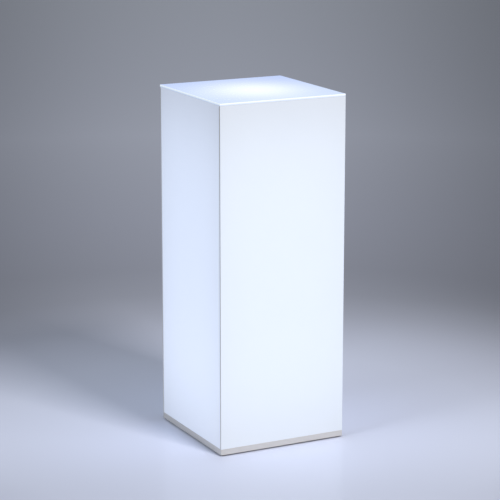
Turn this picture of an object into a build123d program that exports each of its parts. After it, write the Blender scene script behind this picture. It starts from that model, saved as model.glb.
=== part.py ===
from build123d import *
import os
from math import cos, radians, tan

os.makedirs("parts", exist_ok=True)

# An illuminated display pedestal, in millimetres. A box of opal acrylic sheets, open below, drops over
# a lamp post that stands on a laminated base. The origin is on the floor under the middle of the
# pedestal, +Z is up, the front faces -Y and the power inlet is in the rear edge of the base.

# Cover of opal acrylic
overall_width = 355.6
overall_height = 914.4
sheet_thickness = 6.0
sheet_arris = 0.5
cover_clearance = 0.8

# Base of two boards on glides
glide_height = 3.0
glide_diameter = 24.0
glide_inset = 30.0
plinth_thickness = 16.0
plinth_corner_radius = 1.2
plinth_edge_break = 1.0
locator_thickness = 12.0
locator_corner_radius = 4.0
locator_lead_in = 2.0

# Countersunk screws
screw_clearance = 0.05
wood_screw_head = 8.0
wood_screw_shank = 4.0
board_screw_length = 25.0
board_screw_spacing_x = 240.0
board_screw_spacing_y = 120.0
flange_screw_length = 15.0
flange_screw_spacing = 80.0
glide_screw_head = 7.0
glide_screw_shank = 3.2
glide_screw_length = 14.0
glide_screw_sink = 0.4
port_screw_head = 7.6
port_screw_shank = 4.0
port_screw_length = 16.0

# Lamp post, an extruded aluminium section with a channel in each face for a strip of LEDs
flange_width = 100.0
flange_thickness = 5.0
flange_corner_radius = 6.0
flange_edge_break = 0.5
post_width = 40.0
post_wall = 2.0
post_corner_radius = 2.0
channel_lip_thickness = 0.8
channel_opening = 9.6
port_inset = 6.2
port_boss_diameter = 8.8
cap_thickness = 4.0
wire_slot_length = 10.0
wire_slot_width = 4.4
wire_slot_height = 14.0
cap_wire_hole = 10.0

# LED strips
strip_width = 12.0
strip_thickness = 1.2
strip_clearance = 0.2
strip_bottom_margin = 30.0
strip_top_margin = 20.0
strip_pad_length = 8.0
chip_size = 5.0
chip_height = 1.6
chip_pitch = 20.0

# Round lamp on top of the post
lamp_headroom = 105.0
lamp_diameter = 60.0
lamp_height = 15.0
lamp_wall = 2.0
lamp_step = 2.0
lamp_floor = 3.0
lamp_board_height = 7.0
lamp_board_thickness = 1.6
lamp_fit = 0.2
lens_thickness = 2.4
lens_edge_break = 0.6
lamp_screw_circle = 22.0
lamp_screw_shank = 2.8
lamp_screw_head = 5.6
lamp_screw_head_height = 2.0
lamp_screw_bite = 3.6
lamp_inner_ring = 12.0
lamp_outer_ring = 36.0

# Terminal block on the locating board, behind the post
block_y = 66.0
block_length = 18.0
block_axis_height = 6.0
block_height = 13.0
block_ear_width = 30.0
block_ear_depth = 12.0
block_ear_thickness = 3.0
block_ear_hole_spacing = 23.0
pole_pitch = 8.0
pole_tube = 7.6
tower_diameter = 6.2
tower_spacing = 8.4
barrel_diameter = 5.0
barrel_bore = 2.6
barrel_length = 14.0
barrel_fit = 0.1
clamp_screw_diameter = 2.6
ear_screw_shank = 3.0
ear_screw_head = 5.4
ear_screw_head_height = 1.8
ear_screw_bite = 9.0

# Wiring
lead_diameter = 1.6
lead_spacing = 5.0
lead_insertion = 4.5
grommet_y = 87.0
grommet_bore = 11.0
grommet_wall = 2.0
grommet_flange = 20.0
grommet_flange_thickness = 1.5
groove_width = 13.0
groove_depth = 10.0

# Power inlet and switch, on a plate that is set back into the rear edge of the base
power_recess = 3.2
power_plate_width = 78.0
power_plate_height = 15.2
power_plate_thickness = 2.0
power_plate_corner_radius = 2.0
power_plate_gap = 0.2
power_screw_spacing = 68.0
power_screw_head = 5.6
power_screw_shank = 3.0
power_screw_length = 12.0
pocket_width = 56.0
pocket_length = 44.0
pocket_depth = 13.6
socket_x = -14.0
socket_flange_diameter = 10.4
socket_flange_thickness = 1.3
socket_bush_diameter = 8.0
socket_bush_length = 12.0
socket_bore = 5.6
socket_bore_depth = 9.5
socket_fit = 0.1
socket_pin_diameter = 2.1
socket_pin_setback = 0.8
socket_nut_flats = 10.0
socket_nut_thickness = 2.0
socket_lug_spacing = 5.0
lug_width = 2.2
lug_thickness = 0.5
lug_length = 5.0
switch_x = 12.0
bezel_width = 15.0
bezel_height = 10.5
bezel_thickness = 1.5
switch_body_width = 13.2
switch_body_height = 8.8
switch_body_depth = 12.0
switch_cutout_fit = 0.1
switch_cavity_width = 11.4
switch_cavity_height = 6.6
switch_floor = 1.4
switch_terminal_spacing = 6.6
switch_terminal_width = 2.8
switch_terminal_length = 6.5
rocker_throw = 20.0
rocker_width = 10.0
rocker_side_gap = 0.2
rocker_face_height = 1.6
rocker_skirt = 1.5
rocker_keel_width = 2.4
rocker_keel_depth = 5.0
rocker_flush_depth = 0.5
trunnion_diameter = 1.6
trunnion_fit = 0.05
trunnion_bearing = 0.9

# Levels from the floor up
plinth_bottom = glide_height
plinth_top = plinth_bottom + plinth_thickness
locator_top = plinth_top + locator_thickness
flange_top = locator_top + flange_thickness
wall_top = overall_height - sheet_thickness
wall_height = wall_top - plinth_top
lens_top = wall_top - lamp_headroom
lamp_bottom = lens_top - lamp_height
post_top = lamp_bottom - cap_thickness
post_height = post_top - flange_top
strip_bottom = flange_top + strip_bottom_margin
strip_top = post_top - strip_top_margin
strip_length = strip_top - strip_bottom
power_axis = plinth_bottom + plinth_thickness / 2
block_axis = locator_top + block_axis_height

# Distances from the middle out
half_width = overall_width / 2
wall_inside = half_width - sheet_thickness
glide_spacing = overall_width - 2 * glide_inset
port_spacing = post_width - 2 * port_inset
port_diameter = port_screw_shank + 4 * screw_clearance
channel_floor = post_width / 2 - channel_lip_thickness - strip_thickness - strip_clearance
strip_face = channel_floor + strip_thickness
plate_face = half_width - power_recess
plate_back = plate_face - power_plate_thickness
socket_back = plate_face - socket_bush_length
switch_back = plate_face - switch_body_depth
pocket_front = plate_back - pocket_length


def countersunk_screw(head, shank, length):
    """A countersunk screw whose flat head lies in the plane z = 0 and whose shank points down."""
    cone = (head - shank) / 2
    with BuildPart() as screw:
        with BuildSketch(Plane.XZ):
            with BuildLine():
                Polyline(
                    (0, 0),
                    (head / 2, 0),
                    (shank / 2, -cone),
                    (shank / 2, shank / 2 - length),
                    (0, -length),
                    close=True,
                )
            make_face()
        revolve(axis=Axis.Z)
    return screw.part


def pan_head_screw(head, head_height, shank, length):
    """A pan head screw whose head stands on the plane z = 0 and whose shank points down."""
    with BuildPart() as screw:
        with Locations((0, 0, 0)):
            Cylinder(shank / 2, length, align=(Align.CENTER, Align.CENTER, Align.MAX))
            Cylinder(head / 2, head_height, align=(Align.CENTER, Align.CENTER, Align.MIN))
        chamfer(screw.edges().group_by(Axis.Z)[-1], head_height / 3)
    return screw.part


def insulated_lead(*route):
    """A round lead along straight runs joined by tangent arcs, as large as the runs allow."""
    corners = [Vector(*point) for point in route]
    radii = []
    for before, corner, after in zip(corners, corners[1:], corners[2:]):
        run_in = corner - before
        run_out = after - corner
        half_turn = radians(run_in.get_angle(run_out)) / 2
        radii.append(0.45 * min(run_in.length, run_out.length) / tan(half_turn))
    with BuildPart() as lead:
        with BuildLine() as path:
            FilletPolyline(*corners, radius=radii)
        with BuildSketch(Plane(origin=path.line @ 0, z_dir=path.line % 0)):
            Circle(lead_diameter / 2)
        sweep()
    return lead.part


def from_below(height):
    """A plane at this height that looks up at the pedestal from the floor."""
    return Plane(origin=(0, 0, height), x_dir=(1, 0, 0), z_dir=(0, 0, -1))


def facing_rear(y):
    """A plane square to Y, level with the power inlet, whose depth runs into the pedestal."""
    return Plane(origin=(0, y, power_axis), x_dir=(1, 0, 0), z_dir=(0, -1, 0))


# ---------------------------------------------------------------------------------------------
# Cover: the front and rear sheets run the full width and lap the edges of the side sheets, and
# the top sheet lies over all four. The outer edges are broken by a polished arris.
# ---------------------------------------------------------------------------------------------
lapping_wall_centre = half_width - sheet_thickness / 2

with BuildPart() as front_panel:
    with BuildSketch(Plane.XY.offset(plinth_top)):
        with Locations((0, -lapping_wall_centre)):
            Rectangle(overall_width, sheet_thickness)
    extrude(amount=wall_height)
    fillet(front_panel.edges().filter_by(Axis.Z).group_by(Axis.Y)[0], sheet_arris)
    chamfer(front_panel.faces().sort_by(Axis.Z)[-1].edges().sort_by(Axis.Y)[0], sheet_arris)
front_panel.part.label = "front_panel"
export_step(front_panel.part, "parts/front_panel.step")

with BuildPart() as rear_panel:
    add(front_panel.part.rotate(Axis.Z, 180))
rear_panel.part.label = "rear_panel"
export_step(rear_panel.part, "parts/rear_panel.step")

with BuildPart() as left_panel:
    with BuildSketch(Plane.XY.offset(plinth_top)):
        with Locations((-lapping_wall_centre, 0)):
            Rectangle(sheet_thickness, 2 * wall_inside)
    extrude(amount=wall_height)
    chamfer(left_panel.edges().filter_by(Axis.Z).group_by(Axis.X)[0], sheet_arris)
    chamfer(left_panel.faces().sort_by(Axis.Z)[-1].edges().sort_by(Axis.X)[0], sheet_arris)
left_panel.part.label = "left_panel"
export_step(left_panel.part, "parts/left_panel.step")

with BuildPart() as right_panel:
    add(left_panel.part.rotate(Axis.Z, 180))
right_panel.part.label = "right_panel"
export_step(right_panel.part, "parts/right_panel.step")

with BuildPart() as top_panel:
    with BuildSketch(Plane.XY.offset(wall_top)):
        Rectangle(overall_width, overall_width)
    extrude(amount=sheet_thickness)
    fillet(top_panel.edges().filter_by(Axis.Z), sheet_arris)
    fillet(top_panel.faces().sort_by(Axis.Z)[-1].edges(), sheet_arris)
    chamfer(top_panel.faces().sort_by(Axis.Z)[0].edges(), sheet_arris / 2)
top_panel.part.label = "top_panel"
export_step(top_panel.part, "parts/top_panel.step")

# ---------------------------------------------------------------------------------------------
# Plinth: the visible band. A notch and a pocket in its rear edge hold the power inlet, and a
# groove leads from the pocket to the hole where the leads rise into the pedestal.
# ---------------------------------------------------------------------------------------------
notch_width = power_plate_width + 2 * power_plate_gap
notch_depth = power_recess + power_plate_thickness

with BuildPart() as plinth_board:
    with BuildSketch(Plane.XY.offset(plinth_bottom)):
        RectangleRounded(overall_width, overall_width, plinth_corner_radius)
    extrude(amount=plinth_thickness)
    fillet(plinth_board.faces().sort_by(Axis.Z)[0].edges(), plinth_edge_break)
    with BuildSketch(Plane.XY.offset(plinth_bottom)):
        with Locations((0, half_width)):
            Rectangle(notch_width, notch_depth, align=(Align.CENTER, Align.MAX))
    extrude(amount=plinth_thickness, mode=Mode.SUBTRACT)
    with BuildSketch(Plane.XY.offset(plinth_top)):
        with Locations((0, plate_back)):
            Rectangle(pocket_width, pocket_length, align=(Align.CENTER, Align.MAX))
    extrude(amount=-pocket_depth, mode=Mode.SUBTRACT)
    with BuildSketch(Plane.XY.offset(plinth_top)):
        with Locations((0, pocket_front)):
            Rectangle(groove_width, pocket_front - grommet_y, align=(Align.CENTER, Align.MAX))
        with Locations((0, grommet_y)):
            Circle(groove_width / 2)
    extrude(amount=-groove_depth, mode=Mode.SUBTRACT)
    with Locations(from_below(plinth_bottom)):
        with GridLocations(board_screw_spacing_x, board_screw_spacing_y, 2, 3):
            CounterSinkHole(
                radius=wood_screw_shank / 2 + screw_clearance,
                counter_sink_radius=wood_screw_head / 2 + screw_clearance,
                counter_sink_angle=90,
            )
        with GridLocations(glide_spacing, glide_spacing, 2, 2):
            Hole(glide_screw_shank / 2 + screw_clearance, glide_screw_length - glide_height)
    with Locations(facing_rear(plate_back)):
        with GridLocations(power_screw_spacing, 0, 2, 1):
            Hole(power_screw_shank / 2 + screw_clearance, power_screw_length)
plinth_board.part.label = "plinth_board"
export_step(plinth_board.part, "parts/plinth_board.step")

# ---------------------------------------------------------------------------------------------
# Locating board: a loose fit inside the cover, with a chamfer all round its top that leads the
# cover over it. It is screwed on from below.
# ---------------------------------------------------------------------------------------------
locator_width = 2 * (wall_inside - cover_clearance)
grommet_hole = grommet_bore + 2 * grommet_wall

with BuildPart() as locator_board:
    with BuildSketch(Plane.XY.offset(plinth_top)):
        RectangleRounded(locator_width, locator_width, locator_corner_radius)
    extrude(amount=locator_thickness)
    chamfer(locator_board.faces().sort_by(Axis.Z)[-1].edges(), locator_lead_in)
    with Locations((0, grommet_y, locator_top)):
        Hole(grommet_hole / 2)
    with Locations((0, 0, locator_top)):
        with GridLocations(flange_screw_spacing, flange_screw_spacing, 2, 2):
            Hole(wood_screw_shank / 2 + screw_clearance, flange_screw_length - flange_thickness)
    with Locations((0, block_y, locator_top)):
        with GridLocations(block_ear_hole_spacing, 0, 2, 1):
            Hole(ear_screw_shank / 2 + screw_clearance, ear_screw_bite)
    with Locations(from_below(plinth_top)):
        with GridLocations(board_screw_spacing_x, board_screw_spacing_y, 2, 3):
            Hole(wood_screw_shank / 2 + screw_clearance, board_screw_length - plinth_thickness)
locator_board.part.label = "locator_board"
export_step(locator_board.part, "parts/locator_board.step")

board_screw = countersunk_screw(wood_screw_head, wood_screw_shank, board_screw_length)
with BuildPart() as board_screws:
    with Locations(from_below(plinth_bottom)):
        with GridLocations(board_screw_spacing_x, board_screw_spacing_y, 2, 3):
            add(board_screw)
board_screws.part.label = "board_screws"
export_step(board_screws.part, "parts/board_screws.step")

# ---------------------------------------------------------------------------------------------
# Glides: four turned nylon discs that stand the base a little off the floor, each held by one
# countersunk screw from below.
# ---------------------------------------------------------------------------------------------
glide_edge_break = glide_height / 4
glide_corners = {
    "glide_front_left": (-glide_spacing / 2, -glide_spacing / 2),
    "glide_front_right": (glide_spacing / 2, -glide_spacing / 2),
    "glide_rear_left": (-glide_spacing / 2, glide_spacing / 2),
    "glide_rear_right": (glide_spacing / 2, glide_spacing / 2),
}
for glide_name, (glide_x, glide_y) in glide_corners.items():
    with BuildPart() as glide:
        with BuildSketch(Plane.XY):
            with Locations((glide_x, glide_y)):
                Circle(glide_diameter / 2)
        extrude(amount=glide_height)
        chamfer(glide.edges().group_by(Axis.Z)[0], glide_edge_break)
        with Locations(from_below(glide_screw_sink)):
            with Locations((glide_x, -glide_y)):
                CounterSinkHole(
                    radius=glide_screw_shank / 2 + screw_clearance,
                    counter_sink_radius=glide_screw_head / 2 + screw_clearance,
                    counter_sink_angle=90,
                )
    glide.part.label = glide_name
    export_step(glide.part, f"parts/{glide_name}.step")

glide_screw = countersunk_screw(glide_screw_head, glide_screw_shank, glide_screw_length - glide_screw_sink)
with BuildPart() as glide_screws:
    with Locations(from_below(glide_screw_sink)):
        with GridLocations(glide_spacing, glide_spacing, 2, 2):
            add(glide_screw)
glide_screws.part.label = "glide_screws"
export_step(glide_screws.part, "parts/glide_screws.step")

# ---------------------------------------------------------------------------------------------
# Post flange: an aluminium plate. Four screws from below pull the post down on it, and four
# wood screws from above hold it on the locating board.
# ---------------------------------------------------------------------------------------------
with BuildPart() as post_flange:
    with BuildSketch(Plane.XY.offset(locator_top)):
        RectangleRounded(flange_width, flange_width, flange_corner_radius)
    extrude(amount=flange_thickness)
    chamfer(post_flange.faces().sort_by(Axis.Z)[-1].edges(), flange_edge_break)
    with Locations((0, 0, flange_top)):
        with GridLocations(flange_screw_spacing, flange_screw_spacing, 2, 2):
            CounterSinkHole(
                radius=wood_screw_shank / 2 + screw_clearance,
                counter_sink_radius=wood_screw_head / 2 + screw_clearance,
                counter_sink_angle=90,
            )
    with Locations(from_below(locator_top)):
        with GridLocations(port_spacing, port_spacing, 2, 2):
            CounterSinkHole(
                radius=port_screw_shank / 2 + screw_clearance,
                counter_sink_radius=port_screw_head / 2 + screw_clearance,
                counter_sink_angle=90,
            )
post_flange.part.label = "post_flange"
export_step(post_flange.part, "parts/post_flange.step")

flange_screw = countersunk_screw(wood_screw_head, wood_screw_shank, flange_screw_length)
with BuildPart() as flange_screws:
    with Locations((0, 0, flange_top)):
        with GridLocations(flange_screw_spacing, flange_screw_spacing, 2, 2):
            add(flange_screw)
flange_screws.part.label = "flange_screws"
export_step(flange_screws.part, "parts/flange_screws.step")

port_screw = countersunk_screw(port_screw_head, port_screw_shank, port_screw_length)
with BuildPart() as post_screws:
    with Locations(from_below(locator_top)):
        with GridLocations(port_spacing, port_spacing, 2, 2):
            add(port_screw)
post_screws.part.label = "post_screws"
export_step(post_screws.part, "parts/post_screws.step")

# ---------------------------------------------------------------------------------------------
# Lamp post: a thin-walled extrusion. Each face has a lipped channel that an LED strip slides
# into from above, and a screw port runs up each inside corner. A slot low in the right-hand
# channel lets the leads of the top lamp into the hollow.
# ---------------------------------------------------------------------------------------------
channel_width = strip_width + 2 * strip_clearance
channel_depth = strip_thickness + strip_clearance
channel_block = post_width / 2 - channel_floor + post_wall

with BuildPart() as lamp_post:
    with BuildSketch(Plane.XY.offset(flange_top)):
        RectangleRounded(post_width, post_width, post_corner_radius)
        offset(amount=-post_wall, mode=Mode.SUBTRACT)
        with PolarLocations(channel_floor - post_wall, 4):
            Rectangle(channel_block, channel_width + 2 * post_wall, align=(Align.MIN, Align.CENTER))
        with GridLocations(port_spacing, port_spacing, 2, 2):
            Circle(port_boss_diameter / 2)
            Circle(port_diameter / 2, mode=Mode.SUBTRACT)
        with PolarLocations(channel_floor, 4):
            Rectangle(channel_depth, channel_width, align=(Align.MIN, Align.CENTER), mode=Mode.SUBTRACT)
        with PolarLocations(channel_floor + channel_depth, 4):
            Rectangle(
                channel_lip_thickness,
                channel_opening,
                align=(Align.MIN, Align.CENTER),
                mode=Mode.SUBTRACT,
            )
    extrude(amount=post_height)
    with BuildSketch(Plane.YZ.offset(channel_floor)):
        with Locations((0, flange_top + wire_slot_height)):
            SlotOverall(wire_slot_length, wire_slot_width)
    extrude(amount=-post_wall, mode=Mode.SUBTRACT)
lamp_post.part.label = "lamp_post"
export_step(lamp_post.part, "parts/lamp_post.step")

# ---------------------------------------------------------------------------------------------
# Post cap: closes the extrusion and carries the round lamp.
# ---------------------------------------------------------------------------------------------
with BuildPart() as post_cap:
    with BuildSketch(Plane.XY.offset(post_top)):
        RectangleRounded(post_width, post_width, post_corner_radius)
    extrude(amount=cap_thickness)
    with Locations((0, 0, lamp_bottom)):
        Hole(cap_wire_hole / 2)
        with GridLocations(port_spacing, port_spacing, 2, 2):
            CounterSinkHole(
                radius=port_screw_shank / 2 + screw_clearance,
                counter_sink_radius=port_screw_head / 2 + screw_clearance,
                counter_sink_angle=90,
            )
        with PolarLocations(lamp_screw_circle / 2, 3):
            Hole(lamp_screw_shank / 2 + screw_clearance)
post_cap.part.label = "post_cap"
export_step(post_cap.part, "parts/post_cap.step")

with BuildPart() as cap_screws:
    with Locations((0, 0, lamp_bottom)):
        with GridLocations(port_spacing, port_spacing, 2, 2):
            add(port_screw)
cap_screws.part.label = "cap_screws"
export_step(cap_screws.part, "parts/cap_screws.step")

# ---------------------------------------------------------------------------------------------
# LED strips: a narrow circuit board in each channel, with a row of LED packages on it.
# ---------------------------------------------------------------------------------------------
chip_count = int((strip_length - 2 * strip_pad_length) // chip_pitch) + 1
strip_middle = strip_bottom + strip_length / 2
face_turns = {"right": 0, "rear": 90, "left": 180, "front": 270}

for side, turn in face_turns.items():
    with BuildPart() as led_strip:
        with BuildSketch(Plane.XY.offset(strip_bottom)):
            with Locations(Rotation(0, 0, turn)):
                with Locations((channel_floor, 0)):
                    Rectangle(strip_thickness, strip_width, align=(Align.MIN, Align.CENTER))
        extrude(amount=strip_length)
    led_strip.part.label = f"led_strip_{side}"
    export_step(led_strip.part, f"parts/led_strip_{side}.step")

    with BuildPart() as led_chips:
        with BuildSketch(Plane.YZ.rotated((0, 0, turn)).offset(strip_face)):
            with Locations((0, strip_middle)):
                with GridLocations(0, chip_pitch, 1, chip_count):
                    Rectangle(chip_size, chip_size)
        extrude(amount=chip_height)
    led_chips.part.label = f"led_chips_{side}"
    export_step(led_chips.part, f"parts/led_chips_{side}.step")

# ---------------------------------------------------------------------------------------------
# Top lamp: a turned aluminium dish with two steps, the lower for the circuit board and the
# upper for the frosted lens. Three screws in its floor hold it on the cap.
# ---------------------------------------------------------------------------------------------
lens_seat_radius = lamp_diameter / 2 - lamp_wall
board_seat_radius = lens_seat_radius - lamp_step
dish_floor_radius = board_seat_radius - lamp_step
lens_bottom = lens_top - lens_thickness

with BuildPart() as top_lamp_housing:
    with BuildSketch(Plane.XZ):
        with BuildLine():
            Polyline(
                (cap_wire_hole / 2, lamp_bottom),
                (lamp_diameter / 2, lamp_bottom),
                (lamp_diameter / 2, lens_top),
                (lens_seat_radius, lens_top),
                (lens_seat_radius, lens_bottom),
                (board_seat_radius, lens_bottom),
                (board_seat_radius, lamp_bottom + lamp_board_height),
                (dish_floor_radius, lamp_bottom + lamp_board_height),
                (dish_floor_radius, lamp_bottom + lamp_floor),
                (cap_wire_hole / 2, lamp_bottom + lamp_floor),
                close=True,
            )
        make_face()
    revolve(axis=Axis.Z)
    with Locations((0, 0, lamp_bottom + lamp_floor)):
        with PolarLocations(lamp_screw_circle / 2, 3):
            Hole(lamp_screw_shank / 2 + screw_clearance)
top_lamp_housing.part.label = "top_lamp_housing"
export_step(top_lamp_housing.part, "parts/top_lamp_housing.step")

lamp_screw = pan_head_screw(
    lamp_screw_head, lamp_screw_head_height, lamp_screw_shank, lamp_floor + lamp_screw_bite
)
with BuildPart() as top_lamp_screws:
    with Locations((0, 0, lamp_bottom + lamp_floor)):
        with PolarLocations(lamp_screw_circle / 2, 3):
            add(lamp_screw)
top_lamp_screws.part.label = "top_lamp_screws"
export_step(top_lamp_screws.part, "parts/top_lamp_screws.step")

with BuildPart() as top_lamp_board:
    with BuildSketch(Plane.XY.offset(lamp_bottom + lamp_board_height)):
        Circle(board_seat_radius - lamp_fit)
    extrude(amount=lamp_board_thickness)
top_lamp_board.part.label = "top_lamp_board"
export_step(top_lamp_board.part, "parts/top_lamp_board.step")

with BuildPart() as top_lamp_chips:
    with BuildSketch(Plane.XY.offset(lamp_bottom + lamp_board_height + lamp_board_thickness)):
        with PolarLocations(lamp_inner_ring / 2, 4):
            Rectangle(chip_size, chip_size)
        with PolarLocations(lamp_outer_ring / 2, 8):
            Rectangle(chip_size, chip_size)
    extrude(amount=chip_height)
top_lamp_chips.part.label = "top_lamp_chips"
export_step(top_lamp_chips.part, "parts/top_lamp_chips.step")

with BuildPart() as top_lamp_lens:
    with BuildSketch(Plane.XY.offset(lens_bottom)):
        Circle(lens_seat_radius - lamp_fit)
    extrude(amount=lens_thickness)
    chamfer(top_lamp_lens.edges().group_by(Axis.Z)[-1], lens_edge_break)
top_lamp_lens.part.label = "top_lamp_lens"
export_step(top_lamp_lens.part, "parts/top_lamp_lens.step")

# ---------------------------------------------------------------------------------------------
# Terminal block: a moulded two-pole strip connector on the locating board. Each pole is a tube
# with a brass barrel in it, and two towers that guide a screwdriver to the clamp screws.
# ---------------------------------------------------------------------------------------------
with BuildPart() as terminal_block:
    with BuildSketch(Plane.XY.offset(locator_top)):
        with Locations((0, block_y)):
            RectangleRounded(block_ear_width, block_ear_depth, block_ear_thickness)
    extrude(amount=block_ear_thickness)
    with BuildSketch(Plane.XZ.offset(block_length / 2 - block_y)):
        with Locations((0, locator_top)):
            Rectangle(pole_pitch + pole_tube, block_axis_height, align=(Align.CENTER, Align.MIN))
        with Locations((0, block_axis)):
            with GridLocations(pole_pitch, 0, 2, 1):
                Circle(pole_tube / 2)
    extrude(amount=-block_length)
    with BuildSketch(Plane.XY.offset(block_axis)):
        with Locations((0, block_y)):
            with GridLocations(pole_pitch, tower_spacing, 2, 2):
                Circle(tower_diameter / 2)
    extrude(amount=block_height - block_axis_height)
    with BuildSketch(Plane.XZ.offset(block_length / 2 - block_y)):
        with Locations((0, block_axis)):
            with GridLocations(pole_pitch, 0, 2, 1):
                Circle(barrel_diameter / 2 + barrel_fit)
    extrude(amount=-block_length, mode=Mode.SUBTRACT)
    with Locations((0, block_y, locator_top + block_height)):
        with GridLocations(pole_pitch, tower_spacing, 2, 2):
            Hole(clamp_screw_diameter / 2 + barrel_fit, block_height - block_axis_height)
    with Locations((0, block_y, locator_top + block_ear_thickness)):
        with GridLocations(block_ear_hole_spacing, 0, 2, 1):
            Hole(ear_screw_shank / 2 + screw_clearance)
terminal_block.part.label = "terminal_block"
export_step(terminal_block.part, "parts/terminal_block.step")

with BuildPart() as terminal_barrels:
    with BuildSketch(Plane.XZ.offset(barrel_length / 2 - block_y)):
        with Locations((0, block_axis)):
            with GridLocations(pole_pitch, 0, 2, 1):
                Circle(barrel_diameter / 2)
                Circle(barrel_bore / 2, mode=Mode.SUBTRACT)
    extrude(amount=-barrel_length)
    with Locations((0, block_y, block_axis + barrel_diameter / 2)):
        with GridLocations(pole_pitch, tower_spacing, 2, 2):
            Hole(clamp_screw_diameter / 2 + screw_clearance, barrel_diameter / 2)
terminal_barrels.part.label = "terminal_barrels"
export_step(terminal_barrels.part, "parts/terminal_barrels.step")

clamp_screw_bottom = block_axis + lead_diameter / 2 + screw_clearance
clamp_screw_length = barrel_diameter
with BuildPart() as terminal_screws:
    with BuildSketch(Plane.XY.offset(clamp_screw_bottom)):
        with Locations((0, block_y)):
            with GridLocations(pole_pitch, tower_spacing, 2, 2):
                Circle(clamp_screw_diameter / 2)
    extrude(amount=clamp_screw_length)
terminal_screws.part.label = "terminal_screws"
export_step(terminal_screws.part, "parts/terminal_screws.step")

ear_screw = pan_head_screw(
    ear_screw_head, ear_screw_head_height, ear_screw_shank, block_ear_thickness + ear_screw_bite
)
with BuildPart() as terminal_mount_screws:
    with Locations((0, block_y, locator_top + block_ear_thickness)):
        with GridLocations(block_ear_hole_spacing, 0, 2, 1):
            add(ear_screw)
terminal_mount_screws.part.label = "terminal_mount_screws"
export_step(terminal_mount_screws.part, "parts/terminal_mount_screws.step")

with BuildPart() as cable_grommet:
    with BuildSketch(Plane.XY.offset(plinth_top)):
        with Locations((0, grommet_y)):
            Circle(grommet_hole / 2)
            Circle(grommet_bore / 2, mode=Mode.SUBTRACT)
    extrude(amount=locator_thickness)
    with BuildSketch(Plane.XY.offset(locator_top)):
        with Locations((0, grommet_y)):
            Circle(grommet_flange / 2)
            Circle(grommet_bore / 2, mode=Mode.SUBTRACT)
    extrude(amount=grommet_flange_thickness)
cable_grommet.part.label = "cable_grommet"
export_step(cable_grommet.part, "parts/cable_grommet.step")

# ---------------------------------------------------------------------------------------------
# Power inlet: a flanged socket for a barrel plug, held on the plate by a nut from inside.
# ---------------------------------------------------------------------------------------------
with BuildPart() as power_plate:
    with BuildSketch(facing_rear(plate_face)):
        RectangleRounded(power_plate_width, power_plate_height, power_plate_corner_radius)
        with Locations((socket_x, 0)):
            Circle(socket_bush_diameter / 2 + socket_fit, mode=Mode.SUBTRACT)
        with Locations((switch_x, 0)):
            Rectangle(
                switch_body_width + 2 * switch_cutout_fit,
                switch_body_height + 2 * switch_cutout_fit,
                mode=Mode.SUBTRACT,
            )
    extrude(amount=power_plate_thickness)
    with Locations(Plane(origin=(0, plate_face, power_axis), x_dir=(1, 0, 0), z_dir=(0, 1, 0))):
        with GridLocations(power_screw_spacing, 0, 2, 1):
            CounterSinkHole(
                radius=power_screw_shank / 2 + screw_clearance,
                counter_sink_radius=power_screw_head / 2 + screw_clearance,
                counter_sink_angle=90,
            )
power_plate.part.label = "power_plate"
export_step(power_plate.part, "parts/power_plate.step")

power_screw = countersunk_screw(power_screw_head, power_screw_shank, power_screw_length)
with BuildPart() as power_plate_screws:
    with Locations(Plane(origin=(0, plate_face, power_axis), x_dir=(1, 0, 0), z_dir=(0, 1, 0))):
        with GridLocations(power_screw_spacing, 0, 2, 1):
            add(power_screw)
power_plate_screws.part.label = "power_plate_screws"
export_step(power_plate_screws.part, "parts/power_plate_screws.step")

socket_axis = Axis((socket_x, 0, power_axis), (0, 1, 0))
socket_mouth = plate_face + socket_flange_thickness
socket_floor = socket_mouth - socket_bore_depth

with BuildPart() as power_socket:
    with BuildSketch(Plane.XY.offset(power_axis)):
        with BuildLine():
            Polyline(
                (socket_x + socket_bore / 2, socket_mouth),
                (socket_x + socket_flange_diameter / 2, socket_mouth),
                (socket_x + socket_flange_diameter / 2, plate_face),
                (socket_x + socket_bush_diameter / 2, plate_face),
                (socket_x + socket_bush_diameter / 2, socket_back),
                (socket_x, socket_back),
                (socket_x, socket_floor),
                (socket_x + socket_bore / 2, socket_floor),
                close=True,
            )
        make_face()
    revolve(axis=socket_axis)
power_socket.part.label = "power_socket"
export_step(power_socket.part, "parts/power_socket.step")

with BuildPart() as power_socket_pin:
    with BuildSketch(facing_rear(socket_mouth - socket_pin_setback)):
        with Locations((socket_x, 0)):
            Circle(socket_pin_diameter / 2)
    extrude(amount=socket_bore_depth - socket_pin_setback)
power_socket_pin.part.label = "power_socket_pin"
export_step(power_socket_pin.part, "parts/power_socket_pin.step")

with BuildPart() as power_socket_nut:
    with BuildSketch(facing_rear(plate_back)):
        with Locations((socket_x, 0)):
            RegularPolygon(socket_nut_flats / 2, 6, major_radius=False)
            Circle(socket_bush_diameter / 2 + socket_fit, mode=Mode.SUBTRACT)
    extrude(amount=socket_nut_thickness)
power_socket_nut.part.label = "power_socket_nut"
export_step(power_socket_nut.part, "parts/power_socket_nut.step")

with BuildPart() as power_socket_lugs:
    with BuildSketch(facing_rear(socket_back)):
        with Locations((socket_x, 0)):
            with GridLocations(socket_lug_spacing, 0, 2, 1):
                Rectangle(lug_thickness, lug_width)
    extrude(amount=lug_length)
power_socket_lugs.part.label = "power_socket_lugs"
export_step(power_socket_lugs.part, "parts/power_socket_lugs.step")

# ---------------------------------------------------------------------------------------------
# Switch: a snap-in housing with a rocker on two trunnions. At rest the lamp is on, with the
# right half of the rocker pressed level and the left half standing out of the bezel.
# ---------------------------------------------------------------------------------------------
half_throw = rocker_throw / 2
rocker_face = plate_face + bezel_thickness - rocker_flush_depth
pivot_y = rocker_face - rocker_face_height * cos(radians(half_throw))
rocker_height = switch_cavity_height - 2 * rocker_side_gap
trunnion_length = switch_cavity_height + 2 * trunnion_bearing

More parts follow.
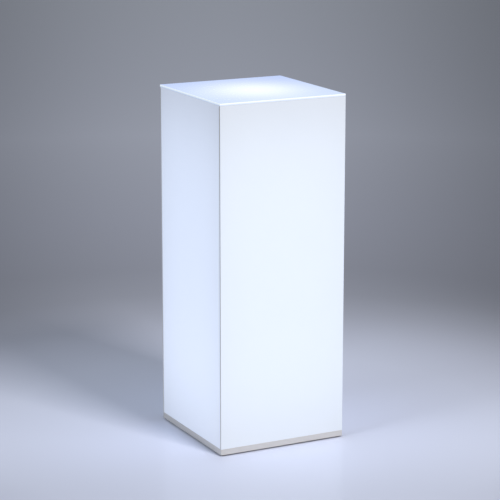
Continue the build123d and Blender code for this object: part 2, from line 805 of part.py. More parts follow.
with BuildPart() as switch_housing:
    with BuildSketch(facing_rear(plate_face)):
        with Locations((switch_x, 0)):
            Rectangle(switch_body_width, switch_body_height)
    extrude(amount=switch_body_depth)
    with BuildSketch(facing_rear(plate_face + bezel_thickness)):
        with Locations((switch_x, 0)):
            RectangleRounded(bezel_width, bezel_height, bezel_thickness / 2)
    extrude(amount=bezel_thickness)
    with BuildSketch(facing_rear(plate_face + bezel_thickness)):
        with Locations((switch_x, 0)):
            Rectangle(switch_cavity_width, switch_cavity_height)
    extrude(amount=bezel_thickness + switch_body_depth - switch_floor, mode=Mode.SUBTRACT)
    with BuildSketch(Plane.XY.offset(power_axis - trunnion_length / 2)):
        with Locations((switch_x, pivot_y)):
            Circle(trunnion_diameter / 2 + trunnion_fit)
    extrude(amount=trunnion_length, mode=Mode.SUBTRACT)
switch_housing.part.label = "switch_housing"
export_step(switch_housing.part, "parts/switch_housing.step")

with BuildPart() as switch_terminals:
    with BuildSketch(facing_rear(switch_back)):
        with Locations((switch_x, 0)):
            with GridLocations(switch_terminal_spacing, 0, 2, 1):
                Rectangle(lug_thickness, switch_terminal_width)
    extrude(amount=switch_terminal_length)
switch_terminals.part.label = "switch_terminals"
export_step(switch_terminals.part, "parts/switch_terminals.step")

rocker_tip = rocker_face_height + rocker_width / 2 * tan(radians(half_throw))
rocker_frame = Plane(origin=(switch_x, pivot_y, power_axis)).rotated((0, 0, -half_throw))

with BuildPart() as switch_rocker:
    with BuildSketch(rocker_frame.offset(-rocker_height / 2)):
        with BuildLine():
            Polyline(
                (0, rocker_face_height),
                (rocker_width / 2, rocker_tip),
                (rocker_width / 2, -rocker_skirt),
                (rocker_keel_width / 2, -rocker_skirt),
                (rocker_keel_width / 2, -rocker_keel_depth),
                (-rocker_keel_width / 2, -rocker_keel_depth),
                (-rocker_keel_width / 2, -rocker_skirt),
                (-rocker_width / 2, -rocker_skirt),
                (-rocker_width / 2, rocker_tip),
                close=True,
            )
        make_face()
    extrude(amount=rocker_height)
    with BuildSketch(rocker_frame.offset(-trunnion_length / 2)):
        Circle(trunnion_diameter / 2)
    extrude(amount=trunnion_length)
switch_rocker.part.label = "switch_rocker"
export_step(switch_rocker.part, "parts/switch_rocker.step")

# ---------------------------------------------------------------------------------------------
# Leads: red is positive. Supply leads run from the socket and the switch through the groove and
# the grommet to the terminal block, feed leads run on to the rear strip, and jumpers chain the
# strips rear, left, front, right. The lamp leads leave the foot of the right strip, enter the
# post through its slot and rise to the lamp.
# ---------------------------------------------------------------------------------------------
lead_half = lead_spacing / 2
pole_half = pole_pitch / 2
pad_inset = strip_pad_length / 2
low_pad = strip_bottom + pad_inset
high_pad = strip_top - pad_inset
inner_loop = post_width / 2 + 10.0
outer_loop = post_width / 2 + 13.0
socket_lug_end = socket_back - lug_length
switch_lug_end = switch_back - switch_terminal_length
barrel_reach = barrel_length / 2 - lead_insertion
groove_entry = pocket_front + 3.0
pocket_bend = pocket_front + 17.5

switch_jumper_lead = insulated_lead(
    (socket_x + socket_lug_spacing / 2, socket_lug_end, power_axis),
    (socket_x + socket_lug_spacing / 2, pocket_front + 16.4, power_axis),
    (switch_x - switch_terminal_spacing / 2, pocket_front + 16.4, power_axis),
    (switch_x - switch_terminal_spacing / 2, switch_lug_end, power_axis),
)
with BuildPart() as switch_jumper:
    add(switch_jumper_lead)
switch_jumper.part.label = "switch_jumper"
export_step(switch_jumper.part, "parts/switch_jumper.step")

supply_red_lead = insulated_lead(
    (switch_x + switch_terminal_spacing / 2, switch_lug_end, power_axis),
    (switch_x + switch_terminal_spacing / 2, pocket_bend, power_axis),
    (pole_half, groove_entry, power_axis),
    (pole_half, grommet_y, power_axis),
    (pole_half, grommet_y, block_axis),
    (pole_half, block_y + barrel_reach, block_axis),
)
with BuildPart() as supply_wire_red:
    add(supply_red_lead)
supply_wire_red.part.label = "supply_wire_red"
export_step(supply_wire_red.part, "parts/supply_wire_red.step")

supply_black_lead = insulated_lead(
    (socket_x - socket_lug_spacing / 2, socket_lug_end, power_axis),
    (socket_x - socket_lug_spacing / 2, pocket_bend, power_axis),
    (-pole_half, groove_entry, power_axis),
    (-pole_half, grommet_y, power_axis),
    (-pole_half, grommet_y, block_axis),
    (-pole_half, block_y + barrel_reach, block_axis),
)
with BuildPart() as supply_wire_black:
    add(supply_black_lead)
supply_wire_black.part.label = "supply_wire_black"
export_step(supply_wire_black.part, "parts/supply_wire_black.step")

feed_leads = {}
for colour, sign in (("red", 1), ("black", -1)):
    feed_leads[colour] = insulated_lead(
        (sign * pole_half, block_y - barrel_reach, block_axis),
        (sign * pole_half, inner_loop + 10.0, block_axis),
        (sign * lead_half, inner_loop, low_pad),
        (sign * lead_half, strip_face, low_pad),
    )
for colour, feed_lead in feed_leads.items():
    with BuildPart() as feed_wire:
        add(feed_lead)
    feed_wire.part.label = f"feed_wire_{colour}"
    export_step(feed_wire.part, f"parts/feed_wire_{colour}.step")


def corner_jumper(turn, loop, pad, height):
    """A lead round one corner of the post, between pads of two strips at one height."""
    lead = insulated_lead(
        (pad, strip_face, height),
        (pad, loop, height),
        (-loop, loop, height),
        (-loop, -pad, height),
        (-strip_face, -pad, height),
    )
    return lead.rotate(Axis.Z, turn)


# The outer loop of a pair joins the two far pads, and the inner loop the two near pads.
jumper_corners = {
    "red": [
        corner_jumper(0, outer_loop, lead_half, high_pad),
        corner_jumper(90, inner_loop, -lead_half, low_pad),
        corner_jumper(180, outer_loop, lead_half, high_pad),
    ],
    "black": [
        corner_jumper(0, inner_loop, -lead_half, high_pad),
        corner_jumper(90, outer_loop, lead_half, low_pad),
        corner_jumper(180, inner_loop, -lead_half, high_pad),
    ],
}
for colour, jumpers in jumper_corners.items():
    with BuildPart() as strip_jumpers:
        add(jumpers)
    strip_jumpers.part.label = f"strip_jumpers_{colour}"
    export_step(strip_jumpers.part, f"parts/strip_jumpers_{colour}.step")

slot_axis = flange_top + wire_slot_height
lamp_leads = {}
for colour, sign in (("red", 1), ("black", -1)):
    lamp_leads[colour] = insulated_lead(
        (strip_face, sign * lead_half, low_pad),
        (inner_loop + 1.0, sign * lead_half, low_pad),
        (inner_loop + 1.0, sign * lead_half, slot_axis),
        (0, sign * lead_half, slot_axis),
        (0, sign * lead_half, lamp_bottom + lamp_board_height),
    )
for colour, lamp_lead in lamp_leads.items():
    with BuildPart() as lamp_wire:
        add(lamp_lead)
    lamp_wire.part.label = f"lamp_wire_{colour}"
    export_step(lamp_wire.part, f"parts/lamp_wire_{colour}.step")
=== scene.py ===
from math import cos, pi, radians, sin, tan

import bmesh
import bpy
from mathutils import Matrix, Vector


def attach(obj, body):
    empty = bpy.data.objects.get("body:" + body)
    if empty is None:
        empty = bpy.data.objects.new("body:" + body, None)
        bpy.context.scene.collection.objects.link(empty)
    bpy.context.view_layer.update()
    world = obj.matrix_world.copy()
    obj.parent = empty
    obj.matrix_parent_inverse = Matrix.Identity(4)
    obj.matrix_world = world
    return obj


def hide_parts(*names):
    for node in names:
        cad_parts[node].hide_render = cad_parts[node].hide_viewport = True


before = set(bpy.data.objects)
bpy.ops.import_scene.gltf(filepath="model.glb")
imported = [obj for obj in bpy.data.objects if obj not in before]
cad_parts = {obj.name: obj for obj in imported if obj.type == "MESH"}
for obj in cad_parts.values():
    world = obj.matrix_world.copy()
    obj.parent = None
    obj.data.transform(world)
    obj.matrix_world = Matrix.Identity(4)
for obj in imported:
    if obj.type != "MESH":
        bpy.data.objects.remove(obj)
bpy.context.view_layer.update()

# ------------------------------------------------------------------------------
# Studio: a pale floor with a faint sheen, whose colour is painted lighter round the pedestal, as a
# pool of light, and darker away from it, as shade; one soft lamp from the front right, a weaker one
# from the left, and an even sky. The camera stands 5 m off, to the left of the pedestal's front, and
# looks down on it a little.
# ------------------------------------------------------------------------------
scene = bpy.context.scene
scene.view_settings.view_transform = "Standard"

camera_place = (-2.337, -4.5752, 1.7067)
camera_dip = radians(13.3405)
camera_turn = radians(27.015)
camera = bpy.data.cameras.new("camera")
camera.sensor_width = 36.0
camera.lens = 144.92
camera_stand = bpy.data.objects.new("camera", camera)
camera_stand.location = camera_place
camera_stand.rotation_euler = (pi / 2 - camera_dip, 0.0, -camera_turn)
scene.collection.objects.link(camera_stand)
scene.camera = camera_stand


class Level:
    """A value that differs over a surface. A sum on it is written as usual and adds a shader node."""

    def __init__(self, socket):
        self.socket = socket
        self.tree = socket.id_data

    def __add__(self, other):
        return reckon("ADD", self, other)

    def __sub__(self, other):
        return reckon("SUBTRACT", self, other)

    def __rsub__(self, other):
        return reckon("SUBTRACT", other, self)

    def __mul__(self, other):
        return reckon("MULTIPLY", self, other)

    def __truediv__(self, other):
        return reckon("DIVIDE", self, other)

    def __rtruediv__(self, other):
        return reckon("DIVIDE", other, self)

    def __pow__(self, other):
        return reckon("POWER", self, other)

    def __abs__(self):
        return reckon("ABSOLUTE", self)


def add_node(tree, kind, values=None, **settings):
    """Adds a shader node with these settings. A plain value fills an input, and a level is linked to it."""
    node = tree.nodes.new(kind)
    for key, setting in settings.items():
        setattr(node, key, setting)
    for key, value in (values or {}).items():
        value = getattr(value, "socket", value)
        if isinstance(value, bpy.types.NodeSocket):
            tree.links.new(value, node.inputs[key])
        else:
            node.inputs[key].default_value = value
    return node


def reckon(operation, *terms):
    """One sum on levels and numbers."""
    tree = next(term.tree for term in terms if isinstance(term, Level))
    node = add_node(tree, "ShaderNodeMath", dict(enumerate(terms)), operation=operation)
    return Level(node.outputs[0])


def measure(operation, tree, *vectors):
    """A number worked out from vectors."""
    node = add_node(tree, "ShaderNodeVectorMath", dict(enumerate(vectors)), operation=operation)
    return Level(node.outputs["Value"])


def ramp_between(level, low, high):
    """A mask that rises smoothly from 0 at low to 1 at high, or falls where low is the larger."""
    start, end = (0.0, 1.0) if low < high else (1.0, 0.0)
    levels = {0: level, 1: min(low, high), 2: max(low, high), 3: start, 4: end}
    node = add_node(level.tree, "ShaderNodeMapRange", levels, interpolation_type="SMOOTHSTEP")
    return Level(node.outputs[0])


def mixed_colour(amount, *colours):
    """Two colours mixed by an amount from 0 to 1."""
    first, second = [(*colour, 1.0) if isinstance(colour, tuple) else colour for colour in colours]
    node = add_node(amount.tree, "ShaderNodeMix", {0: amount, 6: first, 7: second}, data_type="RGBA")
    return Level(node.outputs[2])


def feed(node, **levels):
    """Links levels and colours to a node's inputs, with Base_Color for Base Color."""
    for name, level in levels.items():
        node.id_data.links.new(level.socket, node.inputs[name.replace("_", " ")])


def parts_of(tree, kind, output):
    """The x, y and z of a place or a direction that a node puts out."""
    split = add_node(tree, "ShaderNodeSeparateXYZ", {0: add_node(tree, kind).outputs[output]})
    return [Level(socket) for socket in split.outputs]


def new_finish(name, metallic=0.0, ior=1.5):
    """A material with a plain Principled shader; gives the material, its tree and the shader."""
    finish = bpy.data.materials.new(name)
    finish.use_nodes = True
    shader = finish.node_tree.nodes["Principled BSDF"]
    shader.inputs["Metallic"].default_value = metallic
    shader.inputs["IOR"].default_value = ior
    return finish, finish.node_tree, shader


floor_radius = 60.0
painted_light_reach = 12.0
# Floor colour by distance from the middle: painted light round the pedestal, a belt of painted shade behind
# it, and lighter again far off.
painted_floor_light = [
    (0.00, (0.700, 0.752, 0.915)),
    (0.40, (0.690, 0.742, 0.905)),
    (0.70, (0.655, 0.702, 0.845)),
    (0.95, (0.570, 0.607, 0.730)),
    (1.20, (0.475, 0.503, 0.600)),
    (1.45, (0.415, 0.438, 0.520)),
    (1.80, (0.405, 0.427, 0.510)),
    (2.60, (0.530, 0.558, 0.665)),
    (4.50, (0.810, 0.850, 0.980)),
    (painted_light_reach, (0.860, 0.900, 0.990)),
]
painted_dusk_shade = (0.06, 0.064, 0.078)
floor_finish, tree, shader = new_finish("studio_floor")
shader.inputs["Roughness"].default_value = 0.55
shader.inputs["Coat Weight"].default_value = 0.25
shader.inputs["Coat Roughness"].default_value = 0.12
floor_spot = add_node(tree, "ShaderNodeNewGeometry").outputs["Position"]
floor_distance = measure("LENGTH", tree, floor_spot)
painted_light_ramp = add_node(tree, "ShaderNodeValToRGB", {0: floor_distance / painted_light_reach})
while len(painted_light_ramp.color_ramp.elements) < len(painted_floor_light):
    painted_light_ramp.color_ramp.elements.new(1.0)
for element, (distance, shade) in zip(painted_light_ramp.color_ramp.elements, painted_floor_light):
    element.position = distance / painted_light_reach
    element.color = (*shade, 1.0)

# The painted pool of light on the floor widens towards the rear and fades to both sides.
pool_turn = radians(27.0)
pool_start = 5.1
least_pool = 2.0
pool_spread = 0.151
pool_lean = 0.105
pool_side = measure("DOT_PRODUCT", tree, floor_spot, (cos(pool_turn), -sin(pool_turn), 0.0))
pool_depth = measure("DOT_PRODUCT", tree, floor_spot, (sin(pool_turn), cos(pool_turn), 0.0))
pool_width = reckon("MAXIMUM", pool_depth + pool_start, least_pool) * pool_spread
pool_offset = pool_side / pool_width + pool_lean
painted_pool_light = reckon("EXPONENT", pool_offset ** 2 * -1.0)
# Outside the pool the floor is painted darker, as dusk, and a little darker towards the front too.
painted_side_dusk = (0.9 - painted_pool_light * 0.9) * ramp_between(floor_distance, 0.8, 1.7)
painted_front_dusk = ramp_between(pool_depth, -0.05, -0.6) * 0.2
painted_floor_dusk = reckon("MAXIMUM", painted_side_dusk, painted_front_dusk)
feed(shader, Base_Color=mixed_colour(painted_floor_dusk, painted_light_ramp.outputs["Color"], painted_dusk_shade))

floor_mesh = bpy.data.meshes.new("studio_floor")
floor_shape = bmesh.new()
bmesh.ops.create_circle(floor_shape, cap_ends=True, radius=floor_radius, segments=96)
floor_shape.to_mesh(floor_mesh)
floor_shape.free()
floor_mesh.materials.append(floor_finish)
studio_floor = bpy.data.objects.new("studio_floor", floor_mesh)
scene.collection.objects.link(studio_floor)

lamps_aim = Vector((0, 0, 0.4))
for lamp_name, place, size, power, tint in (
    ("key_lamp", (0.62, -3.15, 3.5), 1.0, 138.0, (1.0, 0.965, 0.95)),
    ("fill_lamp", (-3.75, -0.6, 2.5), 1.5, 54.0, (0.92, 0.955, 1.0)),
):
    lamp = bpy.data.lights.new(lamp_name, "AREA")
    lamp.size = size
    lamp.energy = power
    lamp.color = tint
    lamp_stand = bpy.data.objects.new(lamp_name, lamp)
    lamp_stand.location = place
    lamp_stand.rotation_euler = (lamps_aim - Vector(place)).to_track_quat("-Z", "Y").to_euler()
    lamp_stand.visible_camera = False
    scene.collection.objects.link(lamp_stand)

sky = bpy.data.worlds.new("studio_sky")
sky.use_nodes = True
scene.world = sky
backdrop = sky.node_tree.nodes["Background"]
sky_height = parts_of(sky.node_tree, "ShaderNodeTexCoord", "Generated")[2]
sky_share = ramp_between(sky_height, 0.0, 0.9)
feed(backdrop, Color=mixed_colour(sky_share, (0.25, 0.265, 0.315), (0.92, 0.95, 1.0)))
backdrop.inputs["Strength"].default_value = 0.42

# ------------------------------------------------------------------------------
# Glides: turned discs of dark nylon that hold the base a little off the floor. Each has a flat
# worn bright by the floor, and one countersunk screw through its middle.
# ------------------------------------------------------------------------------
# From here on a plain length is in millimetres, and a length times mm is in metres.
mm = 0.001
glide_offset = 147.8
tool_feed = 0.45 * mm


def surface_group(name, inputs, outputs):
    """An empty node group; gives its tree, the levels of its inputs, and its output node."""
    group = bpy.data.node_groups.new(name, "ShaderNodeTree")
    for label, default in inputs.items():
        kind = "NodeSocketVector" if isinstance(default, tuple) else "NodeSocketFloat"
        group.interface.new_socket(name=label, in_out="INPUT", socket_type=kind).default_value = default
    for label in outputs:
        kind = "NodeSocketColor" if label == "Colour" else "NodeSocketFloat"
        group.interface.new_socket(name=label, in_out="OUTPUT", socket_type=kind)
    entry = group.nodes.new("NodeGroupInput")
    return group, {label: Level(entry.outputs[label]) for label in inputs}, group.nodes.new("NodeGroupOutput")


def place_group(tree, group, **values):
    """Places a node group in a material with its own values; gives its outputs by name."""
    node = tree.nodes.new("ShaderNodeGroup")
    node.node_tree = group
    for key, value in values.items():
        node.inputs[key.replace("_", " ")].default_value = value
    return {socket.name: Level(socket) for socket in node.outputs}


def noise(tree, spot, scale, detail):
    """A soft noise between 0 and 1."""
    node = add_node(tree, "ShaderNodeTexNoise", {"Vector": spot, "Scale": scale, "Detail": detail})
    return Level(node.outputs["Fac"])


# Fine grain: a soft noise stretched along one way of the piece, for moulded and drawn surfaces.
grain, grain_in, grain_out = surface_group(
    "fine_grain", {"Stretch": (1.0, 1.0, 1.0), "Scale": 1000.0, "Detail": 3.0}, ["Grain", "Cloud"]
)
grain_spot = add_node(grain, "ShaderNodeTexCoord").outputs["Object"]
grain_spot = add_node(
    grain, "ShaderNodeVectorMath", {0: grain_spot, 1: grain_in["Stretch"]}, operation="MULTIPLY"
).outputs["Vector"]
fine_noise = noise(grain, grain_spot, grain_in["Scale"], grain_in["Detail"])
feed(grain_out, Grain=fine_noise, Cloud=noise(grain, grain_spot, grain_in["Scale"] * 0.06, 2.0))

# Handling: sparse hair-thin scratches and faint rubbed patches, as a roughness mask.
handling, handling_in, handling_out = surface_group("handling", {"Scale": 60.0}, ["Scratches", "Rub"])
handling_spot = add_node(handling, "ShaderNodeTexCoord").outputs["Object"]
scratch_sets = []
for turn, seat in (((0.5, 0.9, 0.3), 0.0), ((1.2, 0.2, 1.9), 7.0)):
    turned_spot = add_node(
        handling,
        "ShaderNodeVectorRotate",
        {"Vector": handling_spot, "Rotation": turn},
        rotation_type="EULER_XYZ",
    ).outputs["Vector"]
    long_spot = add_node(
        handling,
        "ShaderNodeVectorMath",
        {0: turned_spot, 1: (1.0, 0.08, 1.0), 2: (seat, 0.0, 0.0)},
        operation="MULTIPLY_ADD",
    ).outputs["Vector"]
    streaks = noise(handling, long_spot, handling_in["Scale"], 0.0)
    hairline = ramp_between(abs(streaks - 0.5), 0.0045, 0.001)
    patches = noise(handling, turned_spot, 38.0, 1.0)
    scratch_sets.append(hairline * ramp_between(patches, 0.57, 0.66))
rubbed = ramp_between(noise(handling, handling_spot, 14.0, 3.0), 0.42, 0.66)
feed(handling_out, Scratches=reckon("MAXIMUM", *scratch_sets), Rub=rubbed)


def place_on(tree):
    """The x, y and z of each point of the surface, in metres."""
    return parts_of(tree, "ShaderNodeTexCoord", "Object")


def from_axis(x, y):
    """The distance from an upright axis."""
    return reckon("SQRT", x ** 2 + y ** 2)


def spread(level, low, high):
    """A level from 0 to 1 spread from low to high."""
    return Level(add_node(level.tree, "ShaderNodeMapRange", {0: level, 3: low, 4: high}).outputs[0])


def bump(shader, height, depth):
    """Raises the surface by a height mask times a depth in millimetres."""
    node = add_node(height.tree, "ShaderNodeBump", {"Height": height, "Distance": depth * mm})
    feed(shader, Normal=Level(node.outputs["Normal"]))


def dress(finish, *node_names):
    """Gives CAD pieces their finish."""
    for node_name in node_names:
        for material_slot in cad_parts[node_name].material_slots:
            material_slot.material = finish


glide_finish, tree, shader = new_finish("glide_nylon")
x, y, z = place_on(tree)
turned_radius = from_axis(abs(x) - glide_offset * mm, abs(y) - glide_offset * mm)
tool_rings = reckon("SINE", turned_radius * (2 * pi / tool_feed))
nylon_grain = place_group(tree, grain, Scale=900.0)
worn = ramp_between(z, 0.5 * mm, 0.05 * mm) * nylon_grain["Cloud"]
feed(
    shader,
    Base_Color=mixed_colour(worn, (0.075, 0.077, 0.082), (0.21, 0.21, 0.215)),
    Roughness=spread(nylon_grain["Cloud"], 0.4, 0.62),
)
bump(shader, tool_rings + nylon_grain["Grain"], 0.012)
dress(glide_finish, "glide_front_left", "glide_front_right", "glide_rear_left", "glide_rear_right")

# ------------------------------------------------------------------------------
# Screws: zinc-plated steel. The wood and port screws are countersunk and the lamp and terminal
# screws have pan heads. All have a pressed cross recess and rolled threads.
# ------------------------------------------------------------------------------
def grained_finish(name, scale, dark, light, roughness, relief=0.0, metallic=0.0, detail=3.0, tone="Cloud"):
    """A material whose colour varies a little with its grain, and its roughness where it has a range."""
    finish, tree, shader = new_finish(name, metallic)
    texture = place_group(tree, grain, Scale=scale, Detail=detail)
    feed(shader, Base_Color=mixed_colour(texture[tone], dark, light))
    if isinstance(roughness, tuple):
        feed(shader, Roughness=spread(texture["Grain"], *roughness))
    else:
        shader.inputs["Roughness"].default_value = roughness
    if relief:
        bump(shader, texture["Grain"], relief)
    return finish, shader, texture


zinc_finish, _, _ = grained_finish(
    "zinc_steel", 700.0, (0.60, 0.61, 0.64), (0.74, 0.73, 0.68), (0.2, 0.42), 0.006, metallic=1.0
)


def ring_of(shape, segments, radius, height, square=False):
    """A ring of points at one height, round or square, or one point where the radius is 0."""
    if radius == 0:
        return [shape.verts.new((0, 0, height * mm))]
    ring = []
    for step in range(segments):
        angle = 2 * pi * step / segments
        reach = radius * mm / (max(abs(cos(angle)), abs(sin(angle))) if square else 1)
        ring.append(shape.verts.new((reach * cos(angle), reach * sin(angle), height * mm)))
    return ring


def turned(profile, segments=24, window=None):
    """A closed shape through rings of (radius, height) in millimetres, with a square ring where a third
    value is true. The band whose number is the window has the second finish."""
    shape = bmesh.new()
    rings = [ring_of(shape, segments, *ring) for ring in profile]
    for band, (lower, upper) in enumerate(zip(rings, rings[1:])):
        for step in range(segments):
            after = (step + 1) % segments
            if len(lower) == 1:
                corners = (lower[0], upper[after], upper[step])
            elif len(upper) == 1:
                corners = (lower[step], lower[after], upper[0])
            else:
                corners = (lower[step], lower[after], upper[after], upper[step])
            shape.faces.new(corners).material_index = int(band == window)
    bmesh.ops.recalc_face_normals(shape, faces=shape.faces)
    return shape


def as_mesh(name, shape, *finishes, crease=32):
    """Turns a shape into a mesh with smooth faces and sharp edges, in these finishes."""
    mesh = bpy.data.meshes.new(name)
    shape.to_mesh(mesh)
    shape.free()
    for finish in finishes:
        mesh.materials.append(finish)
    mesh.shade_smooth()
    mesh.set_sharp_from_angle(angle=radians(crease))
    return mesh


def add_piece(name, mesh, body, slot, *replaces):
    """Puts a piece into the scene on its body. Its slot is not used."""
    piece = bpy.data.objects.new(name, mesh)
    scene.collection.objects.link(piece)
    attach(piece, body)
    if replaces:
        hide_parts(*replaces)


def reshaped(name, mesh, kind, **settings):
    """The mesh after one modifier."""
    block = bpy.data.objects.new(name, mesh)
    scene.collection.objects.link(block)
    modifier = block.modifiers.new("shape", kind)
    for key, setting in settings.items():
        setattr(modifier, key, setting)
    view = bpy.context.evaluated_depsgraph_get()
    result = bpy.data.meshes.new_from_object(block.evaluated_get(view))
    bpy.data.objects.remove(block)
    return result


def cut_out(name, mesh, tool):
    """The mesh with a tool's shape cut out of it."""
    cutter = bpy.data.objects.new(name + "_tool", tool)
    scene.collection.objects.link(cutter)
    result = reshaped(name, mesh, "BOOLEAN", operation="DIFFERENCE", solver="EXACT", object=cutter)
    bpy.data.objects.remove(cutter)
    return result


def moved(x, y, z):
    """A shift by millimetres."""
    return Matrix.Translation(Vector((x, y, z)) * mm)


def spun(angle, axis="Z"):
    """A turn about an axis."""
    return Matrix.Rotation(angle, 4, axis)


def cross_bit(span, blade, depth):
    """The tapered cross of a screwdriver bit, pointing down into the plane z = 0."""
    outline = []
    for quarter in range(4):
        turn = Matrix.Rotation(quarter * pi / 2, 3, "Z")
        for corner in ((span, -blade * 0.8), (span, blade * 0.8), (blade, blade)):
            outline.append(turn @ Vector((*corner, 0)) * mm)
    shape = bmesh.new()
    top = [shape.verts.new((point.x, point.y, depth * 0.3 * mm)) for point in outline]
    bottom = [shape.verts.new((point.x * 0.55, point.y * 0.7, -depth * mm)) for point in outline]
    shape.faces.new(top)
    shape.faces.new(reversed(bottom))
    for index in range(len(outline)):
        after = (index + 1) % len(outline)
        shape.faces.new((top[index], bottom[index], bottom[after], top[after]))
    bmesh.ops.recalc_face_normals(shape, faces=shape.faces)
    return shape


thread_pitch = 1.25


def screw_mesh(name, head, shank, length, turns, pan_height=0.0):
    """A cross-recessed screw whose seat is the plane z = 0 and whose shank points down."""
    radius = shank / 2
    cone = 0.0 if pan_height else (head - shank) / 2
    thread_start = -cone - 1.0
    body = [(radius * 0.98, -cone)]
    for turn in range(turns):
        body.append((radius * 0.86, thread_start - turn * thread_pitch))
        body.append((radius, thread_start - (turn + 0.5) * thread_pitch))
    body += [(radius * 0.8, radius - length), (0, -length)]
    if pan_height:
        crown = [(0, pan_height), (head * 0.3, pan_height * 0.97), (head * 0.42, pan_height * 0.8)]
        crown += [(head / 2, pan_height * 0.45), (head / 2, 0)]
    else:
        crown = [(0, 0), (head / 2 - 0.15, 0), (head / 2, -0.12)]
    bit = cross_bit(head * 0.27, head * 0.055, head * 0.26)
    bit.transform(moved(0, 0, pan_height))
    plain = as_mesh(name, turned(crown + body, segments=20), zinc_finish)
    return cut_out(name, plain, as_mesh(name + "_bit", bit, zinc_finish))


def repeated(name, single, places, crease=32):
    """One mesh with a smaller mesh set at every place."""
    joined = bmesh.new()
    for place in places:
        before = len(joined.verts)
        joined.from_mesh(single)
        joined.verts.ensure_lookup_table()
        bmesh.ops.transform(joined, matrix=place, verts=joined.verts[before:])
    return as_mesh(name, joined, *single.materials, crease=crease)


def four_corners(reach):
    """The corners of a square about the middle."""
    return [(x, y) for x in (-reach, reach) for y in (-reach, reach)]


up = Matrix.Identity(4)
down = spun(pi, "X")

# The levels on which the heads sit, and how far from the middle the screws stand.
board_underside = 3.0
glide_screw_seat = 0.4
flange_underside = 31.0
flange_top = 36.0
post_ports = 13.8
cap_top = 788.4
lamp_floor = 791.4
block_ear_top = 34.0
block_y = 66.0
board_reach = 120.0
flange_reach = 40.0
lamp_reach = 11.0
ear_reach = 11.5
board_spots = [(x, y) for x in (-board_reach, board_reach) for y in (-board_reach, 0, board_reach)]
lamp_turns = [2 * pi * third / 3 for third in range(3)]
lamp_spots = [(lamp_reach * cos(turn), lamp_reach * sin(turn)) for turn in lamp_turns]
ear_spots = [(-ear_reach, block_y), (ear_reach, block_y)]

screw_rows = [
    # name, head, shank, length, turns of thread, pan height, way the head faces, seat level, places
    ("board_screws", 8.0, 4.0, 25.0, 16, 0.0, down, board_underside, board_spots),
    ("glide_screws", 7.0, 3.2, 13.6, 7, 0.0, down, glide_screw_seat, four_corners(glide_offset)),
    ("flange_screws", 8.0, 4.0, 15.0, 7, 0.0, up, flange_top, four_corners(flange_reach)),
    ("post_screws", 7.6, 4.0, 16.0, 8, 0.0, down, flange_underside, four_corners(post_ports)),
    ("cap_screws", 7.6, 4.0, 16.0, 8, 0.0, up, cap_top, four_corners(post_ports)),
    ("top_lamp_screws", 5.6, 2.8, 6.6, 3, 2.0, up, lamp_floor, lamp_spots),
    ("terminal_mount_screws", 5.4, 3.0, 12.0, 7, 1.8, up, block_ear_top, ear_spots),
]
for node, head, shank, length, turns, pan_height, way, level, spots in screw_rows:
    single = screw_mesh(node, head, shank, length, turns, pan_height)
    places = [moved(*spot, level) @ way @ spun(0.7 * count + 0.3) for count, spot in enumerate(spots)]
    add_piece(node + "_crossed", repeated(node, single, places), "base", "zinc_steel", node)

# ------------------------------------------------------------------------------
# Plinth: a board of fine fibreboard, edged all round with a warm grey laminate. The laminate is
# filed round at the floor, and its cut edge shows as a thin line on the top. The underside has
# a brown backing sheet.
# ------------------------------------------------------------------------------
half_width = 177.8 * mm
edging_line = half_width - 0.8 * mm


def facing_on(tree):
    """The x, y and z of the way that each point of the surface faces."""
    return parts_of(tree, "ShaderNodeNewGeometry", "Normal")


# Fibreboard: the sawn edge and face of a fine pressed board.
fibre, _, fibre_out = surface_group("fibreboard", {}, ["Colour", "Height"])
fibre_spot = add_node(fibre, "ShaderNodeTexCoord").outputs["Object"]
fibre_flakes = noise(fibre, fibre_spot, 650.0, 5.0)
fibre_shade = fibre_flakes * 0.75 + noise(fibre, fibre_spot, 22.0, 2.0) * 0.25
fibre_colour = mixed_colour(ramp_between(fibre_shade, 0.3, 0.72), (0.30, 0.20, 0.115), (0.56, 0.42, 0.27))
feed(fibre_out, Colour=fibre_colour, Height=fibre_flakes)

plinth_finish, tree, shader = new_finish("base_laminate")
x, y, z = place_on(tree)
facing_x, _, facing_z = facing_on(tree)
laminate_grain = place_group(tree, grain, Scale=1400.0, Detail=2.0)
laminate_marks = place_group(tree, handling, Scale=45.0)
raw_board = place_group(tree, fibre)
edge_distance = reckon("MAXIMUM", abs(x), abs(y))
on_edge = ramp_between(edge_distance, edging_line - 0.05 * mm, edging_line + 0.05 * mm)
on_rounding = ramp_between(edge_distance, half_width - 1.2 * mm, half_width - 1.05 * mm)
laminate_mask = reckon("MAXIMUM", on_edge, on_rounding * ramp_between(facing_z, 0.5, 0.3))
laminate_colour = mixed_colour(laminate_grain["Cloud"], (0.615, 0.604, 0.586), (0.655, 0.644, 0.626))
scuff = ramp_between(z, 6.0 * mm, 3.2 * mm) * laminate_marks["Rub"]
laminate_colour = mixed_colour(scuff * 0.35, laminate_colour, (0.40, 0.385, 0.36))

# The strips on the front and rear lap the side strips, so a hairline joint shows on each side.
cut_line = on_edge * ramp_between(facing_z, 0.9, 0.97)
joint_gap = abs(abs(y) - edging_line)
joint_line = ramp_between(joint_gap, 0.14 * mm, 0.05 * mm) * ramp_between(abs(facing_x), 0.8, 0.9)
seams = reckon("MAXIMUM", cut_line, joint_line * 0.75)
laminate_colour = mixed_colour(seams, laminate_colour, (0.20, 0.15, 0.11))
underside = ramp_between(facing_z, -0.9, -0.98) * ramp_between(z, 3.3 * mm, 3.1 * mm)
backing_colour = mixed_colour(laminate_grain["Cloud"], (0.235, 0.165, 0.105), (0.285, 0.205, 0.135))
core_colour = mixed_colour(underside, raw_board["Colour"], backing_colour)
feed(
    shader,
    Base_Color=mixed_colour(laminate_mask, core_colour, laminate_colour),
    Roughness=spread(laminate_mask, 0.82, 0.42) + laminate_marks["Rub"] * 0.08,
)
bump(shader, laminate_grain["Grain"] * 0.15 + raw_board["Height"] * (1.0 - laminate_mask), 0.06)
dress(plinth_finish, "plinth_board")

